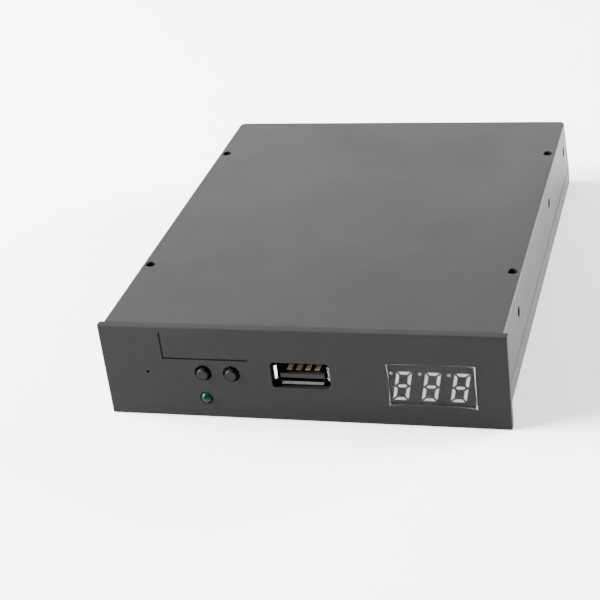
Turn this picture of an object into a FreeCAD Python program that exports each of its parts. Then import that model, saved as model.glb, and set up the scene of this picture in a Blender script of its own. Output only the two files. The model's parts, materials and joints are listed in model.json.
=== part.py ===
import FreeCAD, Part
import os
import Sketcher
from FreeCAD import Vector

# A floppy drive emulator: a plastic case of the 3.5-inch drive format with a USB port, a
# three-digit display, two buttons and a lamp in its bezel, and a circuit board whose
# connectors stand in a bay that is cut into the case's lower face at the rear.
#
# The drive is modelled as it is photographed from the front: bezel towards -Y, the face with
# the mounting screw holes up. X runs across the bezel and Z up from the bezel's lower edge.
# The origin is in the middle of the floor of the whole drive's box. All y values here are
# measured back from the bezel's front face, and along() turns them into the model's Y.

SIZES = {
    # Bezel
    "bezel_width": 101.6,
    "bezel_height": 25.4,
    "bezel_thickness": 2.2,
    "bezel_edge_radius": 0.4,
    "drive_depth": 127.5,
    # Case shells: the roof is the upper face, the floor the lower one
    "floor_height": 4.7,
    "parting_height": 10.7,
    "roof_width": 99.6,
    "parting_width": 100.6,
    "cover_width": 100.8,
    "case_wall": 1.9,
    "cover_wall": 3.6,
    "roof_thickness": 2.0,
    "floor_thickness": 1.6,
    "rear_slope": 2.4,
    "rear_step": 0.2,
    "corner_radius": 1.6,
    "roof_edge_radius": 0.5,
    "cover_edge_radius": 0.7,
    "lip_height": 1.6,
    "lip_clearance": 0.15,
    "lip_draft": 0.25,
    # Connector bay, seen from the front: how far it reaches left, right and forward
    "bay_left": 36.7,
    "bay_right": 37.2,
    "bay_depth": 25.2,
    "bay_wall": 1.25,
    "bay_wall_gap": 0.5,
    "bay_side_drop": 5.0,
    "bay_end_gap": 0.6,
    "rim_drop": 9.6,
    "power_notch_drop": 6.4,
    "header_notch_drop": 7.2,
    "header_notch_x": 7.8,
    "header_notch_width": 8.2,
    "power_notch_width": 11.4,
    # Mounting screw holes, measured from the bezel's back face and from the roof
    "side_hole_first": 21.0,
    "side_hole_second": 81.0,
    "side_hole_third_gap": 10.3,
    "side_hole_drop": 6.35,
    "side_hole_depth": 5.0,
    "face_hole_spacing": 95.25,
    "face_hole_back": 30.0,
    "face_hole_pitch": 70.0,
    "face_hole_depth": 6.0,
    "mount_hole_radius": 1.4,
    "boss_width": 7.0,
    "boss_reach": 6.0,
    "boss_drop": 9.4,
    # Screw well in the cover, and the screw that closes the case
    "well_x": -24.4,
    "well_y": 68.9,
    "well_radius": 3.1,
    "well_wall": 1.5,
    "well_web": 1.8,
    "well_gap": 0.9,
    "case_screw_radius": 1.45,
    "case_screw_head_radius": 2.7,
    "case_screw_head_height": 1.7,
    "case_screw_length": 8.6,
    "thread_clearance": 0.05,
    # Circuit board
    "board_face_drop": 9.6,
    "board_thickness": 1.6,
    "board_left": 29.4,
    "board_right": 30.0,
    "board_rear_gap": 8.3,
    "board_front_gap": 0.7,
    "board_boss_gap": 0.8,
    "board_step_y": 62.0,
    "board_notch_x": 19.5,
    "board_notch_y": 11.0,
    "board_hole_radius": 0.5,
    "post_radius": 2.8,
    "post_left": 24.0,
    "post_right": 23.0,
    "post_edge_margin": 4.0,
    "post_front_y": 24.0,
    "post_rear_gap": 9.3,
    "board_screw_radius": 1.1,
    "board_screw_head_radius": 2.1,
    "board_screw_head_height": 1.3,
    "board_screw_length": 6.0,
    "screw_clearance": 0.3,
    "pilot_depth": 5.2,
    # Pin headers
    "pin_pitch": 2.54,
    "pin_width": 0.64,
    "pin_fit": 0.03,
    "pin_tail": 1.5,
    "pin_taper": 0.5,
    "header_count": 17,
    "header_x": 8.36,
    "header_tip_gap": 1.7,
    "header_base_gap": 7.66,
    "header_base_depth": 2.54,
    "header_base_rise": 5.34,
    "header_groove": 0.5,
    "outer_row_rise": 4.07,
    "outer_bend": 4.1,
    "power_pitch": 2.5,
    "power_count": 4,
    "power_x": -23.64,
    "power_pin_width": 0.7,
    "power_tip_gap": 1.1,
    "power_row_rise": 3.0,
    "power_block_front_gap": 10.5,
    "power_block_depth": 3.2,
    "power_block_rise": 7.0,
    "power_end_margin": 1.7,
    "power_tray_gap": 0.4,
    "power_tray_below_row": 1.7,
    "power_tray_thickness": 1.5,
    "power_rib": 0.6,
    "power_bend": 1.0,
    "jumper_count": 7,
    "jumper_x": -2.09,
    "jumper_gap": 20.8,
    "jumper_base_rise": 2.5,
    "jumper_pin_rise": 8.5,
    # Jumper caps and their contact clips
    "cap_width": 2.4,
    "cap_height": 6.1,
    "cap_gap": 0.05,
    "clip_wall": 0.2,
    "clip_clearance": 0.05,
    "clip_length": 4.6,
    "clip_bridge": 0.8,
    "spare_row_offset": 0.5,
    "spare_first_x": -26.0,
    "spare_count": 5,
    # USB port
    "usb_x": 0.05,
    "usb_width": 13.2,
    "usb_height": 5.7,
    "usb_wall": 0.3,
    "usb_length": 14.0,
    "usb_recess": 1.2,
    "usb_lip_flare": 0.5,
    "usb_lip_depth": 0.45,
    "usb_lip_tall": 3.8,
    "usb_lip_wide": 10.6,
    "usb_notch_depth": 1.0,
    "usb_window_width": 14.85,
    "usb_window_height": 7.1,
    "usb_window_corner": 1.0,
    "usb_tongue_width": 11.1,
    "usb_tongue_thickness": 1.84,
    "usb_tongue_offset": 0.66,
    "usb_tongue_recess": 0.4,
    "usb_tongue_bevel": 0.4,
    "usb_block_depth": 4.0,
    "usb_contact_count": 4,
    "usb_contact_pitch": 2.33,
    "usb_contact_width": 1.2,
    "usb_contact_thickness": 0.25,
    "usb_contact_setback": 1.2,
    "usb_contact_bend": 0.7,
    "usb_tail_hole": 0.7,
    "usb_tab_depth": 2.4,
    "usb_tab_far": 8.5,
    "usb_tab_near": 3.0,
    "usb_tab_short": 0.5,
    "usb_spring_spacing": 5.6,
    "usb_spring_width": 1.8,
    "usb_spring_front": 2.2,
    "usb_spring_rear": 6.8,
    "usb_spring_gap": 0.35,
    "slot_clearance": 0.2,
    # Display
    "display_x": 32.25,
    "display_z": 11.65,
    "display_width": 20.8,
    "display_height": 11.0,
    "display_depth": 7.0,
    "display_recess": 0.3,
    "display_clearance": 0.1,
    "digit_pitch": 7.0,
    "digit_count": 3,
    "digit_height": 8.1,
    "digit_width": 3.95,
    "digit_drop": 0.55,
    "segment_width": 0.95,
    "segment_gap": 0.22,
    "segment_tip_gap": 0.1,
    "segment_depth": 0.4,
    "digit_slant": 0.195,
    "digit_shift": 0.2,
    "point_radius": 0.5,
    "point_left": 2.55,
    "point_rise": 3.45,
    "film_margin": 0.2,
    "film_thickness": 0.15,
    "display_pin_width": 0.5,
    "display_pin_count": 6,
    "display_row_spacing": 7.62,
    "display_foot_back": 5.0,
    # Buttons and their switches
    "button_centre_x": -21.15,
    "button_spacing": 7.3,
    "button_z": 12.75,
    "button_radius": 1.45,
    "button_proud": 1.0,
    "button_hole_radius": 2.15,
    "button_travel": 0.25,
    "switch_width": 6.0,
    "switch_depth": 3.8,
    "switch_plate": 0.3,
    "switch_gap": 0.8,
    "switch_cavity_radius": 2.6,
    "flange_radius": 2.3,
    "flange_thickness": 0.8,
    "button_bevel": 0.2,
    "dome_thickness": 0.1,
    "dome_gap": 0.05,
    "dome_radius": 2.2,
    "stem_clearance": 0.15,
    "bracket_foot": 1.0,
    "terminal_width": 0.7,
    "terminal_spacing": 4.5,
    # Lamp
    "lamp_x": -24.95,
    "lamp_z": 5.5,
    "lamp_radius": 1.5,
    "lamp_hole_gap": 0.12,
    "lamp_length": 5.0,
    "lamp_flange": 0.25,
    "lamp_rim_depth": 1.0,
    "lamp_proud": 1.0,
    "lamp_dome_radius": 1.4,
    "lamp_lead": 0.5,
    "lamp_lead_count": 2,
    "lamp_lead_back": 4.7,
    "lamp_notch_width": 4.8,
    "lamp_notch_end": 9.8,
    "lamp_holder_width": 4.6,
    "lamp_holder_depth": 1.8,
    "lamp_holder_height": 7.0,
    # Chips and small parts on the board
    "chip_height": 1.6,
    "chip_standoff": 0.1,
    "lead_thickness": 0.15,
    "lead_width": 0.3,
    "lead_shoulder": 0.5,
    "lead_foot": 0.5,
    "fine_pitch": 0.5,
    "fine_count": 12,
    "coarse_pitch": 1.27,
    "coarse_count": 7,
    "controller_x": 3.0,
    "controller_y": 46.0,
    "controller_width": 7.0,
    "buffer_left_x": -6.0,
    "buffer_right_x": 12.0,
    "buffer_gap": 16.3,
    "buffer_width": 4.0,
    "buffer_length": 8.7,
    "crystal_x": 3.0,
    "crystal_length": 11.0,
    "crystal_width": 4.5,
    "crystal_height": 3.6,
    "crystal_corner": 1.8,
    "can_x": -14.0,
    "can_gap": 24.3,
    "can_spacing": 9.0,
    "can_radius": 2.5,
    "can_height": 5.8,
    "can_base_height": 0.8,
    "can_base_margin": 0.15,
    "chip_cap_x": -12.0,
    "chip_cap_y": 30.0,
    "chip_cap_length": 2.0,
    "chip_cap_width": 1.25,
    "chip_cap_height": 0.9,
    "chip_cap_count": 10,
    "resistor_x": -12.0,
    "resistor_gap": 32.3,
    "resistor_length": 1.6,
    "resistor_width": 0.8,
    "resistor_height": 0.5,
    "resistor_count": 10,
    "passive_spacing": 4.0,
    "recess_width": 0.7,
    "recess_share": 0.6,
    "recess_depth_share": 0.55,
    # Engraved line and pinhole in the bezel
    "engraving_x": -34.7,
    "engraving_end_x": -12.75,
    "engraving_z": 16.7,
    "engraving_top_z": 24.0,
    "engraving_width": 0.45,
    "engraving_depth": 0.35,
    "pinhole_x": -39.3,
    "pinhole_z": 12.6,
    "pinhole_radius": 0.4,
    # Bezel tabs that hold it in the case
    "tab_width": 8.0,
    "tab_length": 7.0,
    "tab_thickness": 1.4,
    "tab_x": 12.0,
    "tab_clearance": 0.1,
    "tab_root": 0.2,
}

doc = FreeCAD.newDocument("floppy_drive_emulator")
sheet = doc.addObject("Spreadsheet::Sheet", "Dims")
for row, (alias, value) in enumerate(SIZES.items(), start=1):
    sheet.set(f"A{row}", alias)
    sheet.set(f"B{row}", str(value))
    sheet.setAlias(f"B{row}", alias)
doc.recompute()


class Size:
    """A length that carries its number and the spreadsheet formula it comes from."""

    def __init__(self, number, formula):
        self.number = float(number)
        self.formula = formula

    def __add__(self, other):
        other = as_size(other)
        return Size(self.number + other.number, f"({self.formula} + {other.formula})")

    def __radd__(self, other):
        return as_size(other) + self

    def __sub__(self, other):
        other = as_size(other)
        return Size(self.number - other.number, f"({self.formula} - {other.formula})")

    def __rsub__(self, other):
        return as_size(other) - self

    def __mul__(self, other):
        other = as_size(other)
        return Size(self.number * other.number, f"({self.formula} * {other.formula})")

    def __rmul__(self, other):
        return as_size(other) * self

    def __truediv__(self, other):
        other = as_size(other)
        return Size(self.number / other.number, f"({self.formula} / {other.formula})")

    def __neg__(self):
        return Size(-self.number, f"(-1 * {self.formula})")


def as_size(value):
    """Return a Size as it is, and a plain number as a Size."""
    if isinstance(value, Size):
        return value
    return Size(value, f"({float(value)})")


class Dimensions:
    """The spreadsheet's cells as attributes that can be added and multiplied."""

    def __init__(self, names):
        for name in names:
            setattr(self, name, Size(sheet.get(name), f"Dims.{name}"))


d = Dimensions(SIZES)

# Places that several pieces share
case_front = d.bezel_thickness
case_rear = d.drive_depth - d.rear_step
middle = (case_rear - d.button_proud) / 2
roof_face = d.bezel_height
roof_inside = roof_face - d.roof_thickness
floor_inside = d.floor_height + d.floor_thickness
rim_height = roof_face - d.rim_drop
board_face = roof_face - d.board_face_drop
board_back = board_face + d.board_thickness
board_front = d.bezel_thickness + d.board_front_gap
board_rear = d.drive_depth - d.board_rear_gap
board_wide_right = d.roof_width / 2 - d.boss_reach - d.board_boss_gap
bay_front = d.drive_depth - d.bay_depth
tail_end = board_back + d.pin_tail
half_pin = d.pin_width / 2
header_tip = d.drive_depth - d.header_tip_gap
header_base_rear = d.drive_depth - d.header_base_gap
header_base_front = header_base_rear - d.header_base_depth
outer_row = board_face - d.outer_row_rise
inner_row = outer_row + d.pin_pitch
outer_foot = header_base_front - d.outer_bend
inner_foot = outer_foot + d.pin_pitch
header_first_x = d.header_x - d.pin_pitch * (d.header_count - 1) / 2
power_row = board_face - d.power_row_rise
power_first_x = d.power_x - d.power_pitch * (d.power_count - 1) / 2
power_left = power_first_x - d.power_end_margin
power_right = power_first_x + d.power_pitch * (d.power_count - 1) + d.power_end_margin
power_block_front = d.drive_depth - d.power_block_front_gap
power_block_rear = power_block_front + d.power_block_depth
power_foot = power_block_front + d.power_bend
jumper_first_x = d.jumper_x - d.pin_pitch * (d.jumper_count - 1) / 2
jumper_middle = d.drive_depth - d.jumper_gap
jumper_front_row = jumper_middle - d.pin_pitch / 2
jumper_rear_row = jumper_middle + d.pin_pitch / 2
jumper_base_face = board_face - d.jumper_base_rise
jumper_tip = board_face - d.jumper_pin_rise
usb_front = d.usb_recess
usb_rear = usb_front + d.usb_length
usb_low = board_face - d.usb_height
usb_inside_low = usb_low + d.usb_wall
usb_inside_high = board_face - d.usb_wall
usb_middle_z = board_face - d.usb_height / 2
tongue_low = usb_inside_low + d.usb_tongue_offset
tongue_high = tongue_low + d.usb_tongue_thickness
lip_back = usb_front + d.usb_lip_depth
display_front = d.display_recess
display_back = display_front + d.display_depth
digit_z = d.display_z - d.digit_drop
switch_front = d.bezel_thickness + d.switch_gap
switch_back = switch_front + d.switch_depth
lamp_back = d.lamp_length - d.lamp_proud


def along(y):
    """Turn a distance behind the bezel's front face into the model's Y."""
    return as_size(y) - middle


def rectangle(low_a, high_a, low_b, high_b):
    """The four corners of a rectangle in a profile's own two directions."""
    return [(low_a, low_b), (high_a, low_b), (high_a, high_b), (low_a, high_b)]


class Profile:
    """A fully constrained sketch across one axis of a body.

    Across z it is drawn in (x, y), across y in (x, z) and across x in (y, z).
    """

    PLANES = {"x": ("YZ_Plane", 1), "y": ("XZ_Plane", -1), "z": ("XY_Plane", 1)}

    def __init__(self, body, name, axis, place):
        plane, self.sense = self.PLANES[axis]
        self.axis = axis
        self.sketch = body.newObject("Sketcher::SketchObject", name)
        self.sketch.AttachmentSupport = [(origin_item(body, plane), "")]
        self.sketch.MapMode = "FlatFace"
        place = along(place) if axis == "y" else as_size(place)
        self.sketch.setExpression(".AttachmentOffset.Base.z", (place * self.sense).formula)

    def spot(self, a, b):
        if self.axis == "z":
            return as_size(a), along(b)
        if self.axis == "x":
            return along(a), as_size(b)
        return as_size(a), as_size(b)

    def hold(self, kind, line, point, size):
        constraint = Sketcher.Constraint(kind, -1, 1, line, point, size.number)
        index = self.sketch.addConstraint(constraint)
        self.sketch.setExpression(f"Constraints[{index}]", size.formula)

    def polygon(self, corners):
        corners = [self.spot(a, b) for a, b in corners]
        points = [Vector(a.number, b.number, 0) for a, b in corners]
        first = self.sketch.GeometryCount
        count = len(points)
        for here, there in zip(points, points[1:] + points[:1]):
            self.sketch.addGeometry(Part.LineSegment(here, there), False)
        for k in range(count):
            joint = Sketcher.Constraint("Coincident", first + k, 2, first + (k + 1) % count, 1)
            self.sketch.addConstraint(joint)
        for k, (a, b) in enumerate(corners):
            self.hold("DistanceX", first + k, 1, a)
            self.hold("DistanceY", first + k, 1, b)

    def circle(self, a, b, radius):
        a, b = self.spot(a, b)
        centre = Vector(a.number, b.number, 0)
        arc = Part.Circle(centre, Vector(0, 0, 1), radius.number)
        line = self.sketch.addGeometry(arc, False)
        self.hold("DistanceX", line, 3, a)
        self.hold("DistanceY", line, 3, b)
        index = self.sketch.addConstraint(Sketcher.Constraint("Radius", line, radius.number))
        self.sketch.setExpression(f"Constraints[{index}]", radius.formula)

    def draw(self, shapes):
        for shape in shapes:
            if isinstance(shape, list):
                self.polygon(shape)
            else:
                self.circle(*shape)
        return self.sketch


def origin_item(body, role):
    return next(item for item in body.Origin.OriginFeatures if item.Role == role)


def new_body(label):
    body = doc.addObject("PartDesign::Body", label)
    body.Label = label
    if "AllowCompound" in body.PropertiesList:
        body.AllowCompound = True
    return body


def pad(body, name, axis, low, high, shapes):
    """Add the shapes, swept along one axis from low to high."""
    profile = Profile(body, name + "_sketch", axis, low)
    feature = body.newObject("PartDesign::Pad", name)
    feature.Profile = profile.draw(shapes)
    feature.Reversed = profile.sense < 0
    feature.setExpression("Length", (as_size(high) - low).formula)
    body.Tip = feature
    return feature


def pocket(body, name, axis, low, high, shapes):
    """Cut the shapes away along one axis from low to high."""
    profile = Profile(body, name + "_sketch", axis, low)
    feature = body.newObject("PartDesign::Pocket", name)
    feature.Profile = profile.draw(shapes)
    feature.Reversed = profile.sense > 0
    feature.setExpression("Length", (as_size(high) - low).formula)
    body.Tip = feature
    return feature


def row_of(body, feature, name, axis, spacing, count):
    """Repeat a feature along the X or Y axis."""
    pattern = body.newObject("PartDesign::LinearPattern", name)
    pattern.Originals = [feature]
    pattern.Direction = (origin_item(body, f"{axis}_Axis"), [""])
    pattern.setExpression("Length", (spacing * (count - 1)).formula)
    pattern.setExpression("Occurrences", count.formula)
    body.Tip = pattern
    return pattern


def round_edges(body, name, radius, wanted):
    """Fillet the edges of the body so far that the test accepts."""
    doc.recompute()
    base = body.Tip
    edges = [f"Edge{k}" for k, edge in enumerate(base.Shape.Edges, start=1) if wanted(edge)]
    feature = body.newObject("PartDesign::Fillet", name)
    feature.Base = (base, edges)
    feature.setExpression("Radius", radius.formula)
    body.Tip = feature
    return feature


def spin(body, name, x, z, corners):
    """Turn a closed outline of (radius, y) points about a line along Y at x and z."""
    profile = Profile(body, name + "_sketch", "x", x)
    profile.draw([[(y, as_size(z) + radius) for radius, y in corners]])
    feature = body.newObject("PartDesign::Revolution", name)
    feature.Profile = profile.sketch
    line = profile.sketch.addGeometry(axis_line(z), True)
    profile.sketch.addConstraint(Sketcher.Constraint("Horizontal", line))
    profile.hold("DistanceY", line, 1, as_size(z))
    feature.ReferenceAxis = (profile.sketch, ["Axis0"])
    feature.Angle = 360.0
    body.Tip = feature
    return feature


def axis_line(z):
    height = as_size(z).number
    return Part.LineSegment(Vector(-1, height, 0), Vector(1, height, 0))


def block(name, x, y, z):
    """A box between two values on each axis."""
    piece = doc.addObject("Part::Box", name)
    sides = zip("xyz", ("Length", "Width", "Height"), (x, y, z))
    for axis, side, (low, high) in sides:
        start = along(low) if axis == "y" else as_size(low)
        piece.setExpression(side, (as_size(high) - low).formula)
        piece.setExpression(f".Placement.Base.{axis}", start.formula)
    return piece


def rod(name, radius, x, y, low, high):
    """An upright cylinder."""
    piece = doc.addObject("Part::Cylinder", name)
    piece.setExpression("Radius", radius.formula)
    piece.setExpression("Height", (high - low).formula)
    for letter, place in zip("xyz", (as_size(x), along(y), low)):
        piece.setExpression(f".Placement.Base.{letter}", place.formula)
    return piece


def join(name, pieces):
    fused = doc.addObject("Part::MultiFuse", name)
    fused.Shapes = pieces
    fused.Refine = True
    return fused


def cut(name, base, tools):
    """Take tools away from a base, one after the other."""
    for number, tool in enumerate(tools, start=1):
        result = doc.addObject("Part::Cut", name if number == len(tools) else f"{name}_{number}")
        result.Base = base
        result.Tool = tool
        base = result
    return base


def gather(name, pieces):
    """Keep separate solids together as one sub-part."""
    group = doc.addObject("Part::Compound", name)
    group.Links = pieces
    return group


SUB_PARTS = {}


def keep(label, piece):
    """Name a finished sub-part, which also names its file."""
    piece.Label = label
    SUB_PARTS[label] = piece
    return piece


# Tests that pick the edges to round
def upright_edge(edge):
    heights = [v.Z for v in edge.Vertexes]
    return max(heights) - min(heights) > 1


def level_edge(height):
    return lambda edge: all(abs(v.Z - height.number) < 0.01 for v in edge.Vertexes)


def foremost_edge(y):
    """Pick the edges that lie wholly in the plane across Y at the body's front."""
    limit = along(y).number + 0.01
    return lambda edge: edge.BoundBox.YMax < limit


def corner_edge(left, right):
    """Pick the edges along Y at two x values."""
    def test(edge):
        box = edge.BoundBox
        at_side = min(abs(box.XMin - left.number), abs(box.XMin - right.number)) < 0.01
        return at_side and box.XLength < 0.01 and box.ZLength < 0.01
    return test


def behind_front(test):
    """Leave out the edges that lie against the bezel."""
    line = along(case_front).number + 0.1
    return lambda edge: test(edge) and max(v.Y for v in edge.Vertexes) > line


# Upper case: a drafted shell, open below and at the front, with screw bosses and posts
def boss_places():
    """Distances behind the bezel's front of the side and face holes."""
    back = d.bezel_thickness
    sides = [back + d.side_hole_first, back + d.side_hole_second, d.drive_depth - d.side_hole_third_gap]
    faces = [back + d.face_hole_back, back + d.face_hole_back + d.face_hole_pitch]
    return sides, faces


def post_places():
    """Centres of the four board posts and of the post for the case screw."""
    return [
        (-d.post_left, d.post_front_y),
        (board_wide_right - d.post_edge_margin, d.post_front_y),
        (-d.post_left, bay_front - d.post_rear_gap),
        (d.post_right, bay_front - d.post_rear_gap),
        (d.well_x, d.well_y),
    ]


def make_upper_case():
    body = new_body("upper_case")
    wide = d.parting_width / 2
    narrow = d.roof_width / 2
    roof_rear = case_rear - d.rear_slope
    side = [
        (case_front, d.parting_height), (case_rear, d.parting_height),
        (roof_rear, roof_face), (case_front, roof_face),
    ]
    pad(body, "case_block", "x", -wide, wide, [side])
    wedges = [
        [(s * narrow, roof_face), (s * wide, d.parting_height), (s * wide, roof_face)]
        for s in (-1, 1)
    ]
    pocket(body, "case_draft", "y", case_front, case_rear, wedges)
    round_edges(body, "case_corners", d.corner_radius, behind_front(upright_edge))
    round_edges(body, "case_roof_edges", d.roof_edge_radius, behind_front(level_edge(roof_face)))
    wall = d.case_wall
    hollow = [
        (0, d.parting_height), (case_rear - wall, d.parting_height),
        (roof_rear - wall, roof_inside), (0, roof_inside),
    ]
    pocket(body, "case_hollow", "x", wall - narrow, narrow - wall, [hollow])
    sides, faces = boss_places()
    half = d.boss_width / 2
    outer = narrow - wall / 2
    inner = narrow - d.boss_reach
    blocks = []
    for y in sides + faces:
        blocks.append(rectangle(inner, outer, y - half, y + half))
        blocks.append(rectangle(-outer, -inner, y - half, y + half))
    pad(body, "screw_bosses", "z", roof_face - d.boss_drop, roof_inside, blocks)
    posts = [(x, y, d.post_radius) for x, y in post_places()]
    pad(body, "posts", "z", board_back, roof_inside, posts)
    pilots = [(x, y, d.board_screw_radius + d.thread_clearance) for x, y in post_places()[:4]]
    pocket(body, "post_pilots", "z", board_back, board_back + d.pilot_depth, pilots)
    pilot = [(d.well_x, d.well_y, d.case_screw_radius + d.thread_clearance)]
    pocket(body, "case_screw_pilot", "z", board_back, board_back + d.pilot_depth, pilot)
    side_z = roof_face - d.side_hole_drop
    holes = [(y, side_z, d.mount_hole_radius) for y in sides]
    pocket(body, "right_side_holes", "x", narrow - d.side_hole_depth, wide, holes)
    pocket(body, "left_side_holes", "x", -wide, d.side_hole_depth - narrow, holes)
    half_spacing = d.face_hole_spacing / 2
    holes = [(side * half_spacing, y, d.mount_hole_radius) for y in faces for side in (-1, 1)]
    pocket(body, "face_holes", "z", roof_face - d.face_hole_depth, roof_face, holes)
    cut_front = roof_rear - wall - d.bay_end_gap
    rear = d.drive_depth
    low = d.parting_height
    pocket(body, "rear_opening", "y", cut_front, rear,
           [rectangle(-d.bay_left, d.bay_right, low, rim_height)])
    half = d.power_notch_width / 2
    high = roof_face - d.power_notch_drop
    notch = rectangle(d.power_x - half, d.power_x + half, low, high)
    pocket(body, "power_notch", "y", cut_front, rear, [notch])
    half = d.header_notch_width / 2
    high = roof_face - d.header_notch_drop
    notch = rectangle(d.header_notch_x - half, d.header_notch_x + half, low, high)
    pocket(body, "header_notch", "y", cut_front, rear, [notch])
    return keep("upper_case", body)


# Lower cover: a shallow tub with a lip that fits into the upper case, the walls of the
# connector bay and the deep screw well
well_seat = board_face - d.well_gap - d.well_web
well_end = board_face - d.well_gap


def make_lower_cover():
    body = new_body("lower_cover")
    half = d.cover_width / 2
    pad(body, "cover_block", "z", d.floor_height, d.parting_height,
        [rectangle(-half, half, case_front, case_rear)])
    round_edges(body, "cover_corners", d.corner_radius, behind_front(upright_edge))
    round_edges(body, "cover_floor_edges", d.cover_edge_radius, behind_front(level_edge(d.floor_height)))
    lip_side = d.roof_width / 2 - d.case_wall - d.lip_clearance
    lip_rear = case_rear - d.case_wall - d.lip_clearance - d.lip_draft
    lip_top = d.parting_height + d.lip_height
    pad(body, "cover_lip", "z", d.parting_height, lip_top,
        [rectangle(-lip_side, lip_side, case_front, lip_rear)])
    inner = half - d.cover_wall
    pocket(body, "cover_hollow", "z", floor_inside, lip_top,
           [rectangle(-inner, inner, 0, case_rear - d.cover_wall)])
    pocket(body, "bay_opening", "z", d.floor_height, lip_top,
           [rectangle(-d.bay_left, d.bay_right, bay_front, d.drive_depth)])
    wall = d.bay_wall
    wall_front = bay_front - wall
    pad(body, "bay_front_wall", "z", d.floor_height + d.floor_thickness / 2,
        board_face - d.bay_wall_gap,
        [rectangle(-d.bay_left - wall, d.bay_right + wall, wall_front, bay_front)])
    top = roof_face - d.bay_side_drop
    rear = case_rear - d.rear_slope - d.case_wall - d.bay_end_gap
    foot = d.floor_height + d.floor_thickness / 2
    side = [
        (wall_front, foot),
        (case_rear - d.cover_wall / 2, foot),
        (case_rear - d.cover_wall / 2, d.parting_height),
        (rear, d.parting_height),
        (rear, top),
        (wall_front, top),
    ]
    pad(body, "bay_left_wall", "x", -d.bay_left - wall, -d.bay_left, [side])
    pad(body, "bay_right_wall", "x", d.bay_right, d.bay_right + wall, [side])
    tube = d.well_radius + d.well_wall
    pad(body, "well_tube", "z", d.floor_height + d.floor_thickness / 2, well_end,
        [(d.well_x, d.well_y, tube)])
    pocket(body, "well", "z", d.floor_height, well_seat, [(d.well_x, d.well_y, d.well_radius)])
    hole = d.case_screw_radius + d.screw_clearance
    pocket(body, "well_hole", "z", well_seat, well_end, [(d.well_x, d.well_y, hole)])
    half = d.lamp_notch_width / 2
    notch = rectangle(d.lamp_x - half, d.lamp_x + half, 0, d.lamp_notch_end)
    pocket(body, "lamp_notch", "z", d.floor_height, floor_inside, [notch])
    half = d.display_width / 2 + d.screw_clearance
    low = d.display_z - d.display_height / 2 - d.screw_clearance
    recess = rectangle(d.display_x - half, d.display_x + half, 0, display_back + d.screw_clearance)
    pocket(body, "display_recess", "z", low, floor_inside, [recess])
    return keep("lower_cover", body)


# Bezel
def button_places():
    half = d.button_spacing / 2
    return {"left": d.button_centre_x - half, "right": d.button_centre_x + half}


def make_bezel():
    body = new_body("front_bezel")
    half = d.bezel_width / 2
    back = d.bezel_thickness
    pad(body, "bezel_plate", "y", 0, back, [rectangle(-half, half, 0, d.bezel_height)])
    round_edges(body, "bezel_edges", d.bezel_edge_radius, foremost_edge(0))
    half = d.usb_window_width / 2
    low = usb_middle_z - d.usb_window_height / 2
    high = usb_middle_z + d.usb_window_height / 2
    left, right = d.usb_x - half, d.usb_x + half
    pocket(body, "usb_window", "y", 0, back, [rectangle(left, right, low, high)])
    round_edges(body, "usb_window_corners", d.usb_window_corner, corner_edge(left, right))
    half = d.display_width / 2 + d.display_clearance
    tall = d.display_height / 2 + d.display_clearance
    window = rectangle(d.display_x - half, d.display_x + half, d.display_z - tall, d.display_z + tall)
    pocket(body, "display_window", "y", 0, back, [window])
    holes = [(x, d.button_z, d.button_hole_radius) for x in button_places().values()]
    holes.append((d.lamp_x, d.lamp_z, d.lamp_radius + d.lamp_hole_gap))
    holes.append((d.pinhole_x, d.pinhole_z, d.pinhole_radius))
    pocket(body, "bezel_holes", "y", 0, back, holes)
    half = d.engraving_width / 2
    left, right = d.engraving_x - half, d.engraving_x + half
    low, high = d.engraving_z - half, d.engraving_z + half
    line = [
        (left, low), (d.engraving_end_x, low), (d.engraving_end_x, high),
        (right, high), (right, d.engraving_top_z), (left, d.engraving_top_z),
    ]
    pocket(body, "engraving", "y", 0, d.engraving_depth, [line])
    half = d.tab_width / 2
    tab_high = roof_inside - d.tab_clearance
    tab_low = floor_inside + d.tab_clearance
    tabs = []
    for side in (-1, 1):
        left, right = side * d.tab_x - half, side * d.tab_x + half
        tabs.append(rectangle(left, right, tab_high - d.tab_thickness, tab_high))
        tabs.append(rectangle(left, right, tab_low, tab_low + d.tab_thickness))
    pad(body, "bezel_tabs", "y", back - d.tab_root, back + d.tab_length, tabs)
    return keep("front_bezel", body)


# Circuit board: outline, holes for all leads, screw holes
def pin_row(first, pitch, count):
    return [first + pitch * k for k in range(int(count.number))]


header_columns = pin_row(header_first_x, d.pin_pitch, d.header_count)
power_columns = pin_row(power_first_x, d.power_pitch, d.power_count)
jumper_columns = pin_row(jumper_first_x, d.pin_pitch, d.jumper_count)
usb_first_x = d.usb_x - d.usb_contact_pitch * (d.usb_contact_count - 1) / 2
usb_columns = pin_row(usb_first_x, d.usb_contact_pitch, d.usb_contact_count)
usb_tail_y = usb_rear + d.usb_contact_bend
usb_tabs_y = [usb_rear - d.usb_tab_far, usb_rear - d.usb_tab_near]
display_first_x = d.display_x - d.pin_pitch * (d.display_pin_count - 1) / 2
display_columns = pin_row(display_first_x, d.pin_pitch, d.display_pin_count)
display_upper_z = digit_z + d.display_row_spacing / 2
display_lower_z = digit_z - d.display_row_spacing / 2
display_upper_foot = display_back + d.display_foot_back
display_lower_foot = display_upper_foot + d.pin_pitch
lamp_foot = lamp_back + d.lamp_lead_back
lamp_first_x = d.lamp_x - d.pin_pitch * (d.lamp_lead_count - 1) / 2
lamp_columns = pin_row(lamp_first_x, d.pin_pitch, d.lamp_lead_count)
spare_columns = pin_row(d.spare_first_x, d.pin_pitch, d.spare_count)
terminal_y = switch_back + d.switch_plate / 2
terminal_columns = [side * d.terminal_spacing / 2 for side in (-1, 1)]
bracket_side = d.switch_width / 2 + d.switch_plate / 2
bracket_foot_y = (switch_front + switch_back) / 2


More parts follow.
